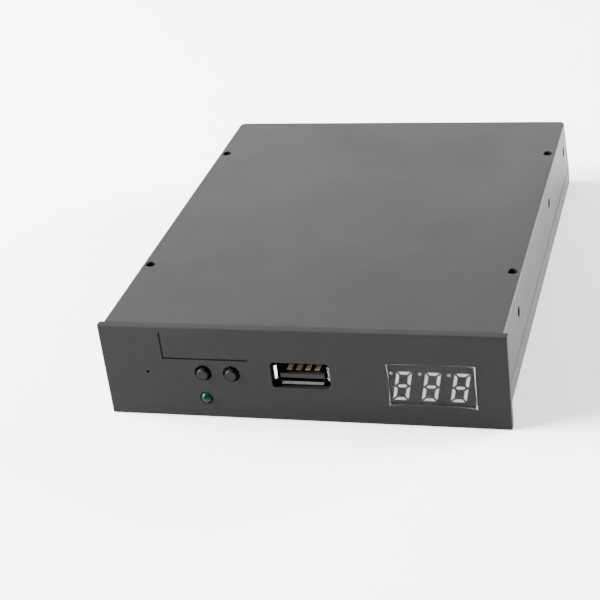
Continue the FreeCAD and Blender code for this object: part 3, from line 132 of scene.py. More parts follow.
# %% Patterns for every finish
class Finish(Shader):
    """A shader with the patterns that all the finishes share."""

    def noise(self, scale, detail=3.0, place=None):
        """Soft random patches; a larger scale makes them smaller."""
        node = self.add("ShaderNodeTexNoise")
        node.inputs["Scale"].default_value = scale
        node.inputs["Detail"].default_value = detail
        self.link(place or self.place, node.inputs["Vector"])
        return node.outputs["Fac"]

    def ramp(self, source, *stops):
        """Turn a number into a colour or grey; each stop is (place, colour or grey)."""
        node = self.add("ShaderNodeValToRGB")
        points = node.color_ramp.elements
        while len(points) < len(stops):
            points.new(0.5)
        for point, (place, colour) in zip(points, stops):
            point.position = place
            grey = isinstance(colour, (int, float))
            point.color = (colour, colour, colour, 1.0) if grey else (*colour, 1.0)
        self.link(source, node.inputs["Fac"])
        return node.outputs["Color"]

    def mix(self, factor, first, second):
        """Blend two colours; each may be a colour or another node's output."""
        node = self.add("ShaderNodeMix", data_type="RGBA")
        # A Mix node's colour sockets come seventh and eighth, after those for other data.
        first_socket, second_socket = node.inputs[6:8]
        self.feed(node.inputs[0], factor)
        self.feed(first_socket, first)
        self.feed(second_socket, second)
        return node.outputs[2]

    def maths(self, operation, first, second=0.0):
        """A sum on one or two numbers; each may be another node's output."""
        node = self.add("ShaderNodeMath", operation=operation)
        self.feed(node.inputs[0], first)
        self.feed(node.inputs[1], second)
        return node.outputs[0]

    def bump(self, height, distance, normal=None, strength=1.0):
        """A normal tilted by a height pattern; distance is its depth in metres."""
        node = self.add("ShaderNodeBump")
        node.inputs["Strength"].default_value = strength
        node.inputs["Distance"].default_value = distance
        self.link(height, node.inputs["Height"])
        if normal is not None:
            self.link(normal, node.inputs["Normal"])
        return node.outputs["Normal"]


# %% Putting a finish on
def paint(finish, *names):
    """Give a finish to CAD pieces."""
    for name in names:
        mesh = nodes[name].data
        mesh.materials.clear()
        mesh.materials.append(finish.material)
    print(finish.material.name, "on", ", ".join(names))


# %% [markdown]
# ## Moulded plastic
# The case and bezel are injection moulded. Spark erosion leaves a very fine grain on the
# mould, which the plastic copies, so the surface looks satin and slightly uneven. Handling
# polishes edges and adds faint scuffs. Noise of several sizes gives the grain, the soft
# clouding and the scuffs, and the bevel node finds the edges for both rounding and wear. The
# buttons are of a blacker plastic, so their sides look black beside the satin bezel.

# %% Stretched patterns and soft edges
def stretched(finish, x, y, z):
    """Object coordinates scaled by a different number along each axis."""
    mapping = finish.add("ShaderNodeMapping")
    mapping.inputs["Scale"].default_value = (x, y, z)
    finish.link(finish.place, mapping.inputs["Vector"])
    return mapping.outputs["Vector"]


def soft_edge(finish, radius):
    """A normal that rounds sharp edges, and a mask that is white on those edges."""
    bevel = finish.add("ShaderNodeBevel", samples=6)
    bevel.inputs["Radius"].default_value = radius
    flat = finish.add("ShaderNodeNewGeometry").outputs["Normal"]
    dot = finish.add("ShaderNodeVectorMath", operation="DOT_PRODUCT")
    finish.link(bevel.outputs["Normal"], dot.inputs[0])
    finish.link(flat, dot.inputs[1])
    worn = finish.maths("SUBTRACT", 1.0, dot.outputs["Value"])
    return bevel.outputs["Normal"], worn


# %% The moulded plastic finish
def moulded(name, colour, roughness, grain=0.012, edge=0.25, scuffs=0.5, shine=0.125):
    """Satin moulded plastic; grain and edge radius are in millimetres."""
    grain_scale, ripple_scale, wear_scale, cloud_scale, haze_scale = 5200, 260, 300, 90, 35
    finish = Finish(name)
    # Colour: faint clouds, pale specks of grain, and worn edges a little lighter.
    dark = [c * 0.94 for c in colour]
    light = [c * 1.08 for c in colour]
    clouds = finish.ramp(finish.noise(cloud_scale, 4), (0.3, dark), (0.72, light))
    fine = finish.noise(grain_scale, 2)
    speckled = finish.mix(0.08, clouds, finish.ramp(fine, (0.35, 0.0), (0.7, 0.035)))
    rounded, worn = soft_edge(finish, edge * MM)
    wear = finish.ramp(finish.noise(wear_scale, 5), (0.4, 0.0), (0.75, 1.0))
    polish = finish.maths("MULTIPLY", finish.maths("MULTIPLY", worn, wear), 0.8)
    pale = [c * 1.6 + 0.0015 for c in colour]
    finish.set(Base_Color=finish.mix(polish, speckled, pale))
    # Gloss: a soft haze, and two sets of long thin scuffs that are smoother than the rest.
    streaks = finish.noise(1.0, 3, stretched(finish, 60, 900, 60))
    crossed = finish.noise(1.0, 3, stretched(finish, 1300, 45, 200))
    lines = finish.maths(
        "MAXIMUM",
        finish.ramp(streaks, (0.66, 0.0), (0.72, 1.0)),
        finish.ramp(crossed, (0.68, 0.0), (0.73, 1.0)),
    )
    scuffed = finish.maths("MULTIPLY", lines, 0.10 * scuffs)
    haze_range = 0.03
    haze = finish.ramp(
        finish.noise(haze_scale, 3), (0.3, roughness - haze_range), (0.7, roughness + haze_range))
    finish.set(Roughness=finish.maths("SUBTRACT", haze, scuffed), Specular_IOR_Level=shine)
    # Relief: the grain of the mould over a wider, weaker unevenness.
    grainy = finish.bump(fine, grain * MM, rounded, 0.6)
    ripple = grain * 2.5
    finish.set(Normal=finish.bump(finish.noise(ripple_scale, 2), ripple * MM, grainy, 0.25))
    return finish


case_grey = (0.0076, 0.0076, 0.0077)
case_satin = moulded("case_satin", case_grey, 0.50, edge=0.35, scuffs=0.25, shine=0.115)
paint(case_satin, "upper_case", "lower_cover")
bezel_grey = (0.0053, 0.0053, 0.0054)
paint(moulded("bezel_satin", bezel_grey, 0.54, edge=0.2, shine=0.09), "front_bezel")
button_black = (0.0030, 0.0030, 0.0031)
button_satin = moulded("button_satin", button_black, 0.50, edge=0.05, shine=0.09)
paint(button_satin, "left_button", "right_button")

# %% [markdown]
# ## Black connector plastic
# Pin headers, caps and switch housings are glass-filled nylon or polyester: darker and
# smoother than the case, with faint pale fibres at the surface. The recipe of the case
# plastic serves again, its pale specks standing for the fibres, with a tighter edge radius
# because the pieces are small.

# %% Connector plastics
header_black = (0.0028, 0.0028, 0.0029)
paint(
    moulded("header_plastic", header_black, 0.40, grain=0.006, edge=0.08, scuffs=0.8, shine=0.07),
    "data_header_base", "power_header_housing", "jumper_header_base",
    "left_switch_housing", "right_switch_housing", "lamp_holder", "capacitor_bases",
)
cap_black = (0.0020, 0.0020, 0.0021)
paint(
    moulded("cap_plastic", cap_black, 0.33, grain=0.004, edge=0.1, shine=0.07),
    "jumper_cap_end", "jumper_cap_middle",
)
tongue_black = (0.0045, 0.0045, 0.0047)
paint(moulded("tongue_plastic", tongue_black, 0.38, grain=0.004, edge=0.1), "usb_tongue")
resin_black = (0.0045, 0.0045, 0.0048)
paint(
    moulded("chip_resin", resin_black, 0.55, grain=0.008, edge=0.06, scuffs=0.2),
    "microcontroller", "buffer_chips", "chip_resistors",
)

# %% [markdown]
# ## The circuit board
# Solder mask is a thin glossy lacquer over copper and woven glass. Its colour shifts where
# copper lies under it, and the weave shows as a faint square ripple. The cut edges show the
# bare straw-coloured laminate, so the finish looks at which way the surface faces.

# %% Which way a surface faces
def coordinate(finish, vector, letter):
    """The X, Y or Z of a place or a direction."""
    node = finish.add("ShaderNodeSeparateXYZ")
    finish.link(vector, node.inputs[0])
    return node.outputs[letter]


def facing(finish, letter):
    """How far the surface faces along an axis, from -1 to 1."""
    normal = finish.add("ShaderNodeNewGeometry").outputs["Normal"]
    return coordinate(finish, normal, letter)


# %% The board finish
def board_mask():
    """Green solder mask on the flat faces, bare laminate on the cut edges."""
    weave_scale, thread_height, flow_height = 330, 0.004, 0.05
    finish = Finish("solder_mask", Roughness=0.28, Specular_IOR_Level=0.15)
    flow = finish.noise(45, 5)
    green = finish.ramp(flow, (0.3, (0.0006, 0.025, 0.013)), (0.7, (0.0012, 0.040, 0.021)))
    speck = finish.noise(2500, 3)
    straw = finish.ramp(speck, (0.3, (0.022, 0.024, 0.009)), (0.7, (0.042, 0.042, 0.017)))
    edge_on = finish.maths("LESS_THAN", finish.maths("ABSOLUTE", facing(finish, "Z")), 0.5)
    finish.set(Base_Color=finish.mix(edge_on, green, straw))
    threads = []
    for direction in ("X", "Y"):
        wave = finish.add("ShaderNodeTexWave", bands_direction=direction)
        wave.inputs["Scale"].default_value = weave_scale
        wave.inputs["Distortion"].default_value = 0.6
        finish.link(finish.place, wave.inputs["Vector"])
        threads.append(wave.outputs["Fac"])
    weave = finish.bump(finish.maths("ADD", *threads), thread_height * MM)
    finish.set(Normal=finish.bump(flow, flow_height * MM, weave, 0.3))
    finish.set(Coat_Weight=0.15, Coat_Roughness=0.12)
    return finish


paint(board_mask(), "circuit_board")

# %% [markdown]
# ## Plated metal
# Header pins are drawn wire, cut to length, tin plated over a warm base metal. The cut tips
# are bare and look warmer, and handling leaves uneven patches of shine. The gold of the USB
# contacts is bright at the front and much darker behind; the darker part is painted shade for
# the shadow deeper in the port. One recipe covers all metals: a colour, a second colour that
# comes in towards a tip, and a brushed roughness. The sheet of the USB port is plated before it
# is punched, so its cut front edges are dark steel.
# The finish finds them by the way they face. They are bare steel, but their almost black colour is
# painted shade for the dark room in front that they face.

# %% The recipe for metal
def metal(name, colour, roughness, tip=None, tip_axis="Y", tip_from=0.0, tip_to=1.0,
          edge=0.05, cut_edge_shade=None, metallic=1.0):
    """Plated metal; tip_from and tip_to are places on an axis, in millimetres."""
    tarnish_scale, tarnish_depth, dulling = 700, 0.004, 0.72
    finish = Finish(name, Metallic=metallic)
    tarnish = finish.noise(tarnish_scale, 5)
    dull = [c * dulling for c in colour]
    body = finish.ramp(tarnish, (0.3, dull), (0.62, colour))
    if tip is not None:
        reach = finish.add("ShaderNodeMapRange")
        reach.inputs["From Min"].default_value = tip_from * MM
        reach.inputs["From Max"].default_value = tip_to * MM
        finish.link(coordinate(finish, finish.place, tip_axis), reach.inputs["Value"])
        body = finish.mix(reach.outputs["Result"], body, tip)
    # Faces that look forward take the cut-edge colour; on the USB shell it is almost black, partly
    # bare steel and partly painted shade.
    if cut_edge_shade is not None:
        forward_facing = finish.maths("LESS_THAN", facing(finish, "Y"), -0.9)
        body = finish.mix(forward_facing, body, cut_edge_shade)
    finish.set(Base_Color=body)
    brushed = finish.noise(1.0, 2, stretched(finish, 9000, 500, 9000))
    finish.set(Roughness=finish.ramp(brushed, (0.3, roughness * 0.75), (0.7, roughness * 1.3)))
    rounded, _ = soft_edge(finish, edge * MM)
    finish.set(Normal=finish.bump(tarnish, tarnish_depth * MM, rounded, 0.5))
    return finish


# %% Plated pins, contacts and shell
tin = (0.58, 0.55, 0.50)
warm_base = (0.72, 0.56, 0.33)
tip_end, tip_length = high("data_header_pins_outer").y, 1.6
pin_plating = metal("pin_plating", tin, 0.24, warm_base, "Y", tip_end - tip_length, tip_end)
paint(pin_plating, "data_header_pins_outer", "data_header_pins_inner", "power_header_pins")
bronze = (0.30, 0.24, 0.16)
jumper_tip, jumper_tip_length = low("jumper_header_pins").z, 1.4
paint(
    metal("jumper_plating", bronze, 0.32, tin, "Z", jumper_tip + jumper_tip_length, jumper_tip),
    "jumper_header_pins",
)
# The contacts fade from gold at the front to almost black behind; the dark part is painted shade for
# the shadow deeper in the port.
gold, painted_port_shade = (0.42, 0.325, 0.20), (0.03, 0.025, 0.02)
lit_length, shade_fade_length = 1.7, 1.0
shade_start = low("usb_contacts").y + lit_length
full_shade_from = shade_start + shade_fade_length
contact_gold = metal("contact_gold", gold, 0.45, painted_port_shade, "Y", shade_start, full_shade_from, metallic=0.5)
paint(contact_gold, "usb_contacts")
# The cut edges are bare steel, painted almost black as painted shade for the dark room in front of
# them.
nickel, bare_steel_and_shade = (0.80, 0.80, 0.81), (0.05, 0.05, 0.05)
paint(metal("shell_plating", nickel, 0.15, edge=0.06, cut_edge_shade=bare_steel_and_shade), "usb_shell")

# %% Steel, solder, bronze and aluminium
steel = (0.55, 0.55, 0.56)
paint(
    metal("sheet_steel", steel, 0.30),
    "left_switch_bracket", "right_switch_bracket", "board_screws", "case_screw", "crystal",
)
solder = (0.66, 0.66, 0.67)
paint(
    metal("soldered_tin", solder, 0.30),
    "switch_terminals", "display_pins", "lamp_leads", "microcontroller_leads", "buffer_leads",
)
spring_metal = (0.55, 0.36, 0.18)
paint(
    metal("spring_bronze", spring_metal, 0.30),
    "jumper_clip_end", "jumper_clip_middle", "left_switch_dome", "right_switch_dome",
)
aluminium = (0.78, 0.78, 0.80)
paint(metal("drawn_aluminium", aluminium, 0.34), "capacitor_cans")

# %% [markdown]
# ## Ceramic parts
# Chip capacitors are fired ceramic, tan and finely speckled, with a dull glaze. They are so
# small that one noise for the colour and a finer one for the relief are enough. The tinned
# bands at their ends are separate small pieces, built further down.

# %% The ceramic finish
ceramic = Finish("fired_ceramic", Roughness=0.4)
tan = ceramic.ramp(ceramic.noise(1500, 4), (0.3, (0.09, 0.055, 0.028)), (0.7, (0.15, 0.094, 0.05)))
ceramic.set(Base_Color=tan, Normal=ceramic.bump(ceramic.noise(4000, 2), 0.01 * MM))
paint(ceramic, "chip_capacitors")

# %% [markdown]
# ## The display
# The module's face is matt dark paint, and each segment is a window filled with milky resin
# that looks off-white while it is unlit. A little subsurface scattering gives the resin its
# depth, and a dark line along its rim is painted shade, where the wall of the well it was
# cast in shades the resin. The points hold less resin over the dark floor of their wells, so
# they look greyer than the segments.

# %% The display's face
face_black = (0.0062, 0.0062, 0.0058)
paint(
    moulded("display_paint", face_black, 0.55, grain=0.01, edge=0.05, scuffs=0.1, shine=0.07),
    "display_housing",
)


# %% A mask for rims
def near_rim(finish, reach, first, last):
    """White along the rim of a flat piece; reach is a distance in metres.

    Ambient occlusion that looks inwards is low where a side is near.
    """
    inner = finish.add("ShaderNodeAmbientOcclusion", inside=True, only_local=True, samples=8)
    inner.inputs["Distance"].default_value = reach
    return finish.ramp(inner.outputs["AO"], (first, 1.0), (last, 0.0))


# %% Resin in the segments
def milky_resin(name, colour):
    """Mottled resin that lets light in by a fraction of a millimetre."""
    rim_width, glow_depth, relief = 0.3, 0.3, 0.01
    finish = Finish(name, Roughness=0.35, Subsurface_Weight=0.2, Subsurface_Scale=glow_depth * MM)
    mottle = finish.noise(1800, 4)
    cream = finish.ramp(mottle, (0.3, [c * 0.8 for c in colour]), (0.7, [c * 1.1 for c in colour]))
    # The dark rim is painted shade, where the wall of the well shades the resin.
    rim_shade = [c * 0.06 for c in colour]
    shaded = finish.mix(near_rim(finish, rim_width * MM, 0.7, 0.9), cream, rim_shade)
    finish.set(Base_Color=shaded, Normal=finish.bump(mottle, relief * MM))
    return finish


segment_cream, point_grey = (0.19, 0.187, 0.175), (0.065, 0.064, 0.060)
paint(milky_resin("segment_resin", segment_cream), "display_segments")
paint(milky_resin("point_resin", point_grey), "display_points")

# %% [markdown]
# ## Building small meshes
# The pieces below are tracks, rings, bands, turned shapes and a film. Each is a list of
# corners and faces, and one helper wraps them in an object that rides on the drive's body.
# The helpers that work out the corners come where they are first needed. All of them make
# closed meshes, so every piece has a clear inside and outside.

# %% A mesh that rides on the drive
def piece(name, corners, faces, finish, smooth=False):
    """A mesh from corners in metres, riding on the body of the drive."""
    mesh = bpy.data.meshes.new(name)
    mesh.from_pydata([tuple(c) for c in corners], [], faces)
    shell = bmesh.new()
    shell.from_mesh(mesh)
    bmesh.ops.recalc_face_normals(shell, faces=shell.faces)
    shell.to_mesh(mesh)
    shell.free()
    mesh.materials.append(finish.material)
    mesh.polygons.foreach_set("use_smooth", [smooth] * len(mesh.polygons))
    if smooth:
        mesh.set_sharp_from_angle(angle=math.radians(40))
    mesh.update()
    thing = bpy.data.objects.new(name, mesh)
    bpy.context.scene.collection.objects.link(thing)
    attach(thing, "drive")
    return thing


# %% [markdown]
# ## Where the pins stand
# Tracks, solder and printed lines follow the pins. A row's box and its count give every pin's
# place, once half a pin is taken off at each end. The connector bay's box, which the record
# keeps as an opening, gives the wall where the board goes out of sight.

# %% Pin columns of the headers
square_pin = 0.64
power_pin = 0.7


def columns(node, count, width=square_pin):
    """The x places of a row of pieces of one width, from the two ends of their box."""
    first, last = low(node).x + width / 2, high(node).x - width / 2
    return [first + (last - first) * k / (count - 1) for k in range(count)]


def front_foot(node, width=square_pin):
    """Where a header's frontmost pins pass through the board, behind the bezel's front."""
    return low(node).y + width / 2 - bezel_front


data_x = columns("data_header_pins_outer", 17)
jumper_x = columns("jumper_header_pins", 7)
power_x = columns("power_header_pins", 4, power_pin)
pitch = data_x[1] - data_x[0]
outer_foot = front_foot("data_header_pins_outer")
inner_foot = front_foot("data_header_pins_inner")
power_foot = front_foot("power_header_pins", power_pin)
jumper_front = front_foot("jumper_header_pins")
jumper_rear = jumper_front + pitch
openings = {o["name"]: o["box_m"] for o in frame["record"]["physics"]["openings"]}
bay_wall = openings["connector_bay_mouth"][0][1] / MM - bezel_front
board_left = low("circuit_board").x
print("data header columns from x", round(data_x[0], 2), "to", round(data_x[-1], 2))
print("bay wall", round(bay_wall, 2), "mm behind the bezel's front")

# %% [markdown]
# ## Copper tracks
# Under the mask the copper tracks stand a few hundredths of a millimetre proud, and the mask
# over them looks lighter. Tracks run forward from the data header's pins and join the jumper
# pins. They are real ribbons here, since their raised edges catch the light in the bay. The
# ribbon's step to the side grows at a corner, so that its width stays the same around it.

# %% Ribbons along a path
def side_step(path, index):
    """The direction across a path at one of its points, longer at a corner."""
    least_turn = 0.3
    here = Vector(path[index])
    before = Vector(path[max(index - 1, 0)])
    after = Vector(path[min(index + 1, len(path) - 1)])
    steps = [v.normalized() for v in (here - before, after - here) if v.length > 0]
    normals = [Vector((-v.y, v.x)) for v in steps]
    total = sum(normals, Vector((0, 0)))
    return total / max(total.dot(normals[0]), least_turn)


# Pieces that lie on the board reach this far into it, so that no gap shows.
sunk = 0.01


def ribbons(name, paths, width, height, finish):
    """Flat ribbons on the board's lower face; paths hold (x, y) points in millimetres."""
    corners, faces = [], []
    low_z, high_z = board_face - height, board_face + sunk
    for path in paths:
        start = len(corners)
        for index, (x, y) in enumerate(path):
            across = side_step(path, index) * (width / 2)
            for side, z in ((-1, high_z), (-1, low_z), (1, low_z), (1, high_z)):
                corners.append(at(x + side * across.x, y + side * across.y, z))
        for index in range(len(path) - 1):
            a = start + 4 * index
            for k in range(4):
                j = (k + 1) % 4
                faces.append((a + k, a + j, a + 4 + j, a + 4 + k))
        end = start + 4 * (len(path) - 1)
        faces.append((start, start + 1, start + 2, start + 3))
        faces.append((end, end + 1, end + 2, end + 3))
    return piece(name, corners, faces, finish)


# %% Tracks
masked = Finish("masked_copper", Roughness=0.24, Specular_IOR_Level=0.2, Coat_Weight=0.15)
track_green = masked.ramp(
    masked.noise(120, 4), (0.3, (0.001, 0.044, 0.023)), (0.7, (0.002, 0.062, 0.033)))
masked.set(Base_Color=track_green, Normal=masked.bump(masked.noise(900, 2), 0.01 * MM))
track_width, rail_width = 0.28, 0.9
track_height = 0.035
bend = 0.9
track_end = bay_wall - 1.6
turn_y = outer_foot - 2 * pitch
jumper_approach = jumper_rear + 1.4
link_start, link_step = outer_foot + 1.0, 0.5
power_start, power_gap, power_step, power_run = power_foot - 5.2, 0.5, 0.6, 3.0
tracks = []
# Straight forward from the pins at the right, with one jog.
for x in data_x[9:]:
    tracks.append([(x, outer_foot), (x, turn_y), (x - bend, turn_y - bend), (x - bend, track_end)])
# Slanting to the jumper pins.
for x, target in zip(data_x[1:8], jumper_x):
    corner_y = jumper_approach + abs(x - target)
    tracks.append([(x, outer_foot), (x, corner_y), (target, jumper_approach), (target, jumper_rear)])
# Short links back between the two rows of feet.
for x in data_x[:16:3]:
    aside, link_turn = x + link_step, link_start + link_step
    tracks.append([(x, outer_foot), (x, link_start), (aside, link_turn), (aside, inner_foot)])
# Forward from the power pins, each jog a little further on.
for k, x in enumerate(power_x):
    jog, aside = power_start - power_gap * k, x - power_step
    tracks.append([(x, power_foot), (x, jog), (aside, jog - power_step), (aside, jog - power_run)])
ribbons("copper_tracks", tracks, track_width, track_height, masked)
rail_left, rail_right = board_left + 0.8, data_x[-1] + 0.6
rail_rear = bay_wall + 7.5
rails = [[(x, rail_rear), (x, track_end)] for x in (rail_left, rail_right)]
ribbons("copper_rails", rails, rail_width, track_height, masked)
print(len(tracks), "tracks and", len(rails), "rails")

# %% [markdown]
# ## Plated holes and solder
# Every lead goes through a plated hole with a ring of tinned copper around it. Where a pin
# passes, solder wicks up in a small cone. Both are outlines turned around an axis, at a list
# of places. Small vias, which join the two sides of the board, get a smaller ring.

# %% Turned shapes
def turned(name, outlines, finish, axis="Z", sides=24):
    """Turn outlines of (radius, place along the axis) about lines through their centres.

    A radius of zero is one point on the axis. An outline that starts and ends off the axis
    is closed with a last band, which makes a ring.
    """
    corners, faces = [], []
    for centre, profile in outlines:
        rings = []
        for radius, along in profile:
            ring = []
            for k in range(sides):
                if ring and radius == 0:
                    ring.append(ring[0])
                    continue
                angle = 2 * math.pi * k / sides
                a, b = radius * math.cos(angle), radius * math.sin(angle)
                offset = (a, b, along) if axis == "Z" else (a, along, b)
                ring.append(len(corners))
                corners.append(at(*(c + o for c, o in zip(centre, offset))))
            rings.append(ring)
        if profile[0][0] and profile[-1][0]:
            rings.append(rings[0])
        for ring, after in zip(rings, rings[1:]):
            for k in range(sides):
                j = (k + 1) % sides
                faces.append(list(dict.fromkeys((ring[k], ring[j], after[j], after[k]))))
    return piece(name, corners, faces, finish, smooth=True)


# %% Rings and solder cones
tinned = (0.72, 0.71, 0.68)
plating = metal("tinned_copper", tinned, 0.22)
spare_left, spare_count = -26.0, 5
spare_x = [spare_left + pitch * k for k in range(spare_count)]
spare_front = jumper_front - 0.5
spare_rear = spare_front + pitch
spare_holes = [(x, spare_front) for x in spare_x] + [(x, spare_rear) for x in spare_x[1:]]
pin_places = [(x, y) for x in data_x for y in (outer_foot, inner_foot)]
pin_places += [(x, y) for x in jumper_x for y in (jumper_front, jumper_rear)]


def flat_ring(hole, rim, thickness):
    """The outline of a flat ring with a slightly sloping rim."""
    slope = 0.02
    return [(hole, sunk), (hole, -thickness), (rim - slope, -thickness), (rim, sunk)]


# Vias at the left are given from the left rail, those at the right from a pin's number.
left_vias = ((3.2, 9.0), (6.0, 3.9), (10.7, 2.8))
right_vias = ((9, 2.6), (11, 3.7), (13, 7.4), (14, 1.9), (16, 5.3))
vias = [(rail_left + aside, power_foot - ahead) for aside, ahead in left_vias]
vias += [(data_x[k] + pitch / 2, outer_foot - ahead) for k, ahead in right_vias]
hole_ring, via_ring = flat_ring(0.52, 0.88, 0.05), flat_ring(0.16, 0.36, 0.04)
rings = [((x, y, board_face), hole_ring) for x, y in spare_holes + pin_places]
rings += [((x, y, board_face), via_ring) for x, y in vias]
turned("plated_rings", rings, plating, sides=20)
cone = [(0, sunk), (0.74, sunk), (0.70, -0.03), (0.52, -0.12)]
cone += [(0.43, -0.32), (0.36, -0.62), (0, -0.66)]
cones = [((x, outer_foot, board_face), cone) for x in data_x]
turned("solder_cones", cones, plating, sides=16)
print(len(rings), "rings and", len(cones), "solder cones")

# %% [markdown]
# ## Tinned ends of the small parts
# Chip capacitors and resistors end in tinned bands, by which they are soldered flat on the
# board. Each band is a thin sleeve around an end. A block a hair larger than the part gives
# its outside, and the inside is hidden in the part.

# %% Blocks
def blocks(name, boxes, finish):
    """Blocks from two opposite corners each, in millimetres."""
    corners, faces = [], []
    for (x0, y0, z0), (x1, y1, z1) in boxes:
        start = len(corners)
        for z in (z0, z1):
            corners += [at(x, y, z) for x, y in ((x0, y0), (x1, y0), (x1, y1), (x0, y1))]
        faces += [[start + k for k in side] for side in ((0, 1, 2, 3), (4, 5, 6, 7))]
        for k in range(4):
            j = (k + 1) % 4
            faces.append((start + k, start + j, start + 4 + j, start + 4 + k))
    return piece(name, corners, faces, finish)


# %% Tinned bands
def end_bands(node, count, length, band):
    """Blocks that wrap both ends of each part in a row along x."""
    skin = 0.03
    front, rear = low(node).y - bezel_front - skin, high(node).y - bezel_front + skin
    boxes = []
    for x in columns(node, count, length):
        for side in (-1, 1):
            outer, inner = x + side * (length / 2 + skin), x + side * (length / 2 - band)
            boxes.append(((inner, front, low(node).z - skin), (outer, rear, board_face + sunk)))
    return boxes


row_count = 10
bands = end_bands("chip_capacitors", row_count, length=2.0, band=0.4)
bands += end_bands("chip_resistors", row_count, length=1.6, band=0.3)
blocks("tinned_bands", bands, plating)
print(len(bands), "bands")

# %% [markdown]
# ## Printed lines
# White epoxy ink is screened on last: outlines around the connectors and a cell around each
# spare hole. It is a few hundredths of a millimetre thick and slightly mottled. A pattern in
# the board's material could draw it too, but ribbons keep sharp edges however near the camera
# comes. Only plain lines are drawn, with no letters.

# %% Silkscreen
ink = Finish("white_ink", Roughness=0.5)
ink.set(
    Base_Color=ink.ramp(ink.noise(3000, 4), (0.3, (0.28, 0.29, 0.28)), (0.6, (0.46, 0.47, 0.45))),
    Normal=ink.bump(ink.noise(5000, 2), 0.01 * MM),
)
ink_width, ink_height = 0.2, 0.045


def outline(left, right, front, rear):
    """A closed rectangular path."""
    return [(left, front), (right, front), (right, rear), (left, rear), (left, front)]


def frame_around(row, front_row, rear_row, left, right, front, rear):
    """An outline that stands off rows of pins by a margin on each side."""
    return outline(row[0] - left, row[-1] + right, front_row - front, rear_row + rear)


half = pitch / 2
cell_front, cell_middle, cell_rear = spare_front - half, spare_front + half, spare_rear + half
cell_left, cell_right = spare_x[0] - half, spare_x[-1] + half
lines = [
    outline(cell_left, cell_right, cell_front, cell_middle),
    outline(spare_x[1] - half, cell_right, cell_middle, cell_rear),
    frame_around(jumper_x, jumper_front, jumper_rear, left=1.7, right=1.7, front=1.7, rear=1.7),
    frame_around(data_x, outer_foot, inner_foot, left=1.5, right=1.1, front=2.0, rear=1.4),
    frame_around(power_x, power_foot, power_foot, left=1.6, right=1.6, front=1.9, rear=0.4),
]
lines += [[(x + half, cell_front), (x + half, cell_rear)] for x in spare_x[1:-1]]
lines += [[(spare_x[0] + half, cell_front), (spare_x[0] + half, cell_middle)]]
box_x, box_wide, box_tall = data_x[0] - 2.9, 0.6, 0.9
for box_y in (outer_foot - 1.6, outer_foot + 0.8):
    lines.append(outline(box_x - box_wide, box_x + box_wide, box_y - box_tall, box_y + box_tall))
ribbons("printed_lines", lines, ink_width, ink_height, ink)
print(len(lines), "printed lines")

# %% [markdown]
# ## The lamp
# A 3 mm lamp is clear green resin cast around two lead frames. The larger one carries a cup
# with the chip in it, the smaller a wire post. The lens is turned again here with more steps
# than the CAD mesh has, because light bends through it, and its rim stays as the CAD has it.

# %% Lamp lens
lens_low, lens_high = low("lamp_lens"), high("lamp_lens")
lamp_x = (lens_low.x + lens_high.x) / 2
lamp_z = (lens_low.z + lens_high.z) / 2
lens_front = lens_low.y - bezel_front
lens_back = lens_high.y - bezel_front
rim_radius = (lens_high.x - lens_low.x) / 2
rim_ledge, rim_length = 0.25, 1.0
lens_radius = rim_radius - rim_ledge
rim_front = lens_back - rim_length
resin = Finish(
    "green_resin", Roughness=0.12, Transmission_Weight=0.8, IOR=1.2, Specular_IOR_Level=0.35)
tint = resin.ramp(resin.noise(500, 3), (0.3, (0.003, 0.035, 0.021)), (0.7, (0.006, 0.065, 0.04)))
resin.set(Base_Color=tint, Normal=resin.bump(resin.noise(900, 2), 0.01 * MM))
dome_steps = 10
dome = []
for k in range(dome_steps + 1):
    angle = math.pi / 2 * k / dome_steps
    dome.append((lens_radius * math.sin(angle), lens_front + lens_radius * (1 - math.cos(angle))))
lens_outline = dome + [(lens_radius, rim_front), (rim_radius, rim_front)]
lens_outline += [(rim_radius, lens_back), (0, lens_back)]
centre = (lamp_x, 0, lamp_z)
lens = turned("lamp_dome", [(centre, lens_outline)], resin, "Y", 40)
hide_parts("lamp_lens")
print("lamp at x", round(lamp_x, 2), "z", round(lamp_z, 2))

# %% Lamp lead frames
cup_front, cup_radius, stem_radius, post_radius = lens_front + 1.9, 0.68, 0.4, 0.2
frame_back = lens_back - 0.1
cup = [(0, cup_front + 0.45), (0.32, cup_front + 0.4), (0.6, cup_front), (cup_radius, cup_front)]
cup += [(stem_radius, cup_front + 0.7), (stem_radius, frame_back), (0, frame_back)]
post = [(0, cup_front), (post_radius, cup_front + 0.1), (post_radius, frame_back), (0, frame_back)]
cup_x, post_x = lamp_x - 0.35, lamp_x + 0.75
frames = [((cup_x, 0, lamp_z), cup), ((post_x, 0, lamp_z), post)]
turned("lamp_lead_frames", frames, plating, "Y", 20)
print(len(frames), "lead frames")

# %% [markdown]
# ## The film over the display
# New displays wear a clear protective film. It has been handled: its corners have lifted. Its
# edges catching the light as bright lines are a painted highlight. A fine grid bent away from
# the bezel near its corners makes the sheet. The finish is almost invisible in the middle and
# whiter and more opaque at the rim, a painted highlight that is brighter at the left and right.

# %% How the film is bent
film_low, film_high = low("display_film"), high("display_film")
film_x = (film_low.x + film_high.x) / 2
film_z = (film_low.z + film_high.z) / 2
half_wide = (film_high.x - film_low.x) / 2
half_tall = (film_high.z - film_low.z) / 2
film_thick = 0.06
times_wider = 1.9
corner_lifts = {(-1, 1): 0.55, (1, 1): 0.30, (1, -1): 0.62, (-1, -1): 0.22}


def film_lift(u, v):
    """How far the film stands off the bezel, in millimetres; u and v run from -1 to 1."""
    ripple, waves_across, waves_up, lifted_part = 0.02, 5, 2, 0.9
    total = ripple + ripple * math.sin(waves_across * u + waves_up * v) ** 2
    for (corner_u, corner_v), lift in corner_lifts.items():
        far = math.hypot((u - corner_u) * times_wider, v - corner_v)
        total += lift * max(0.0, 1 - far / lifted_part) ** 2
    return total


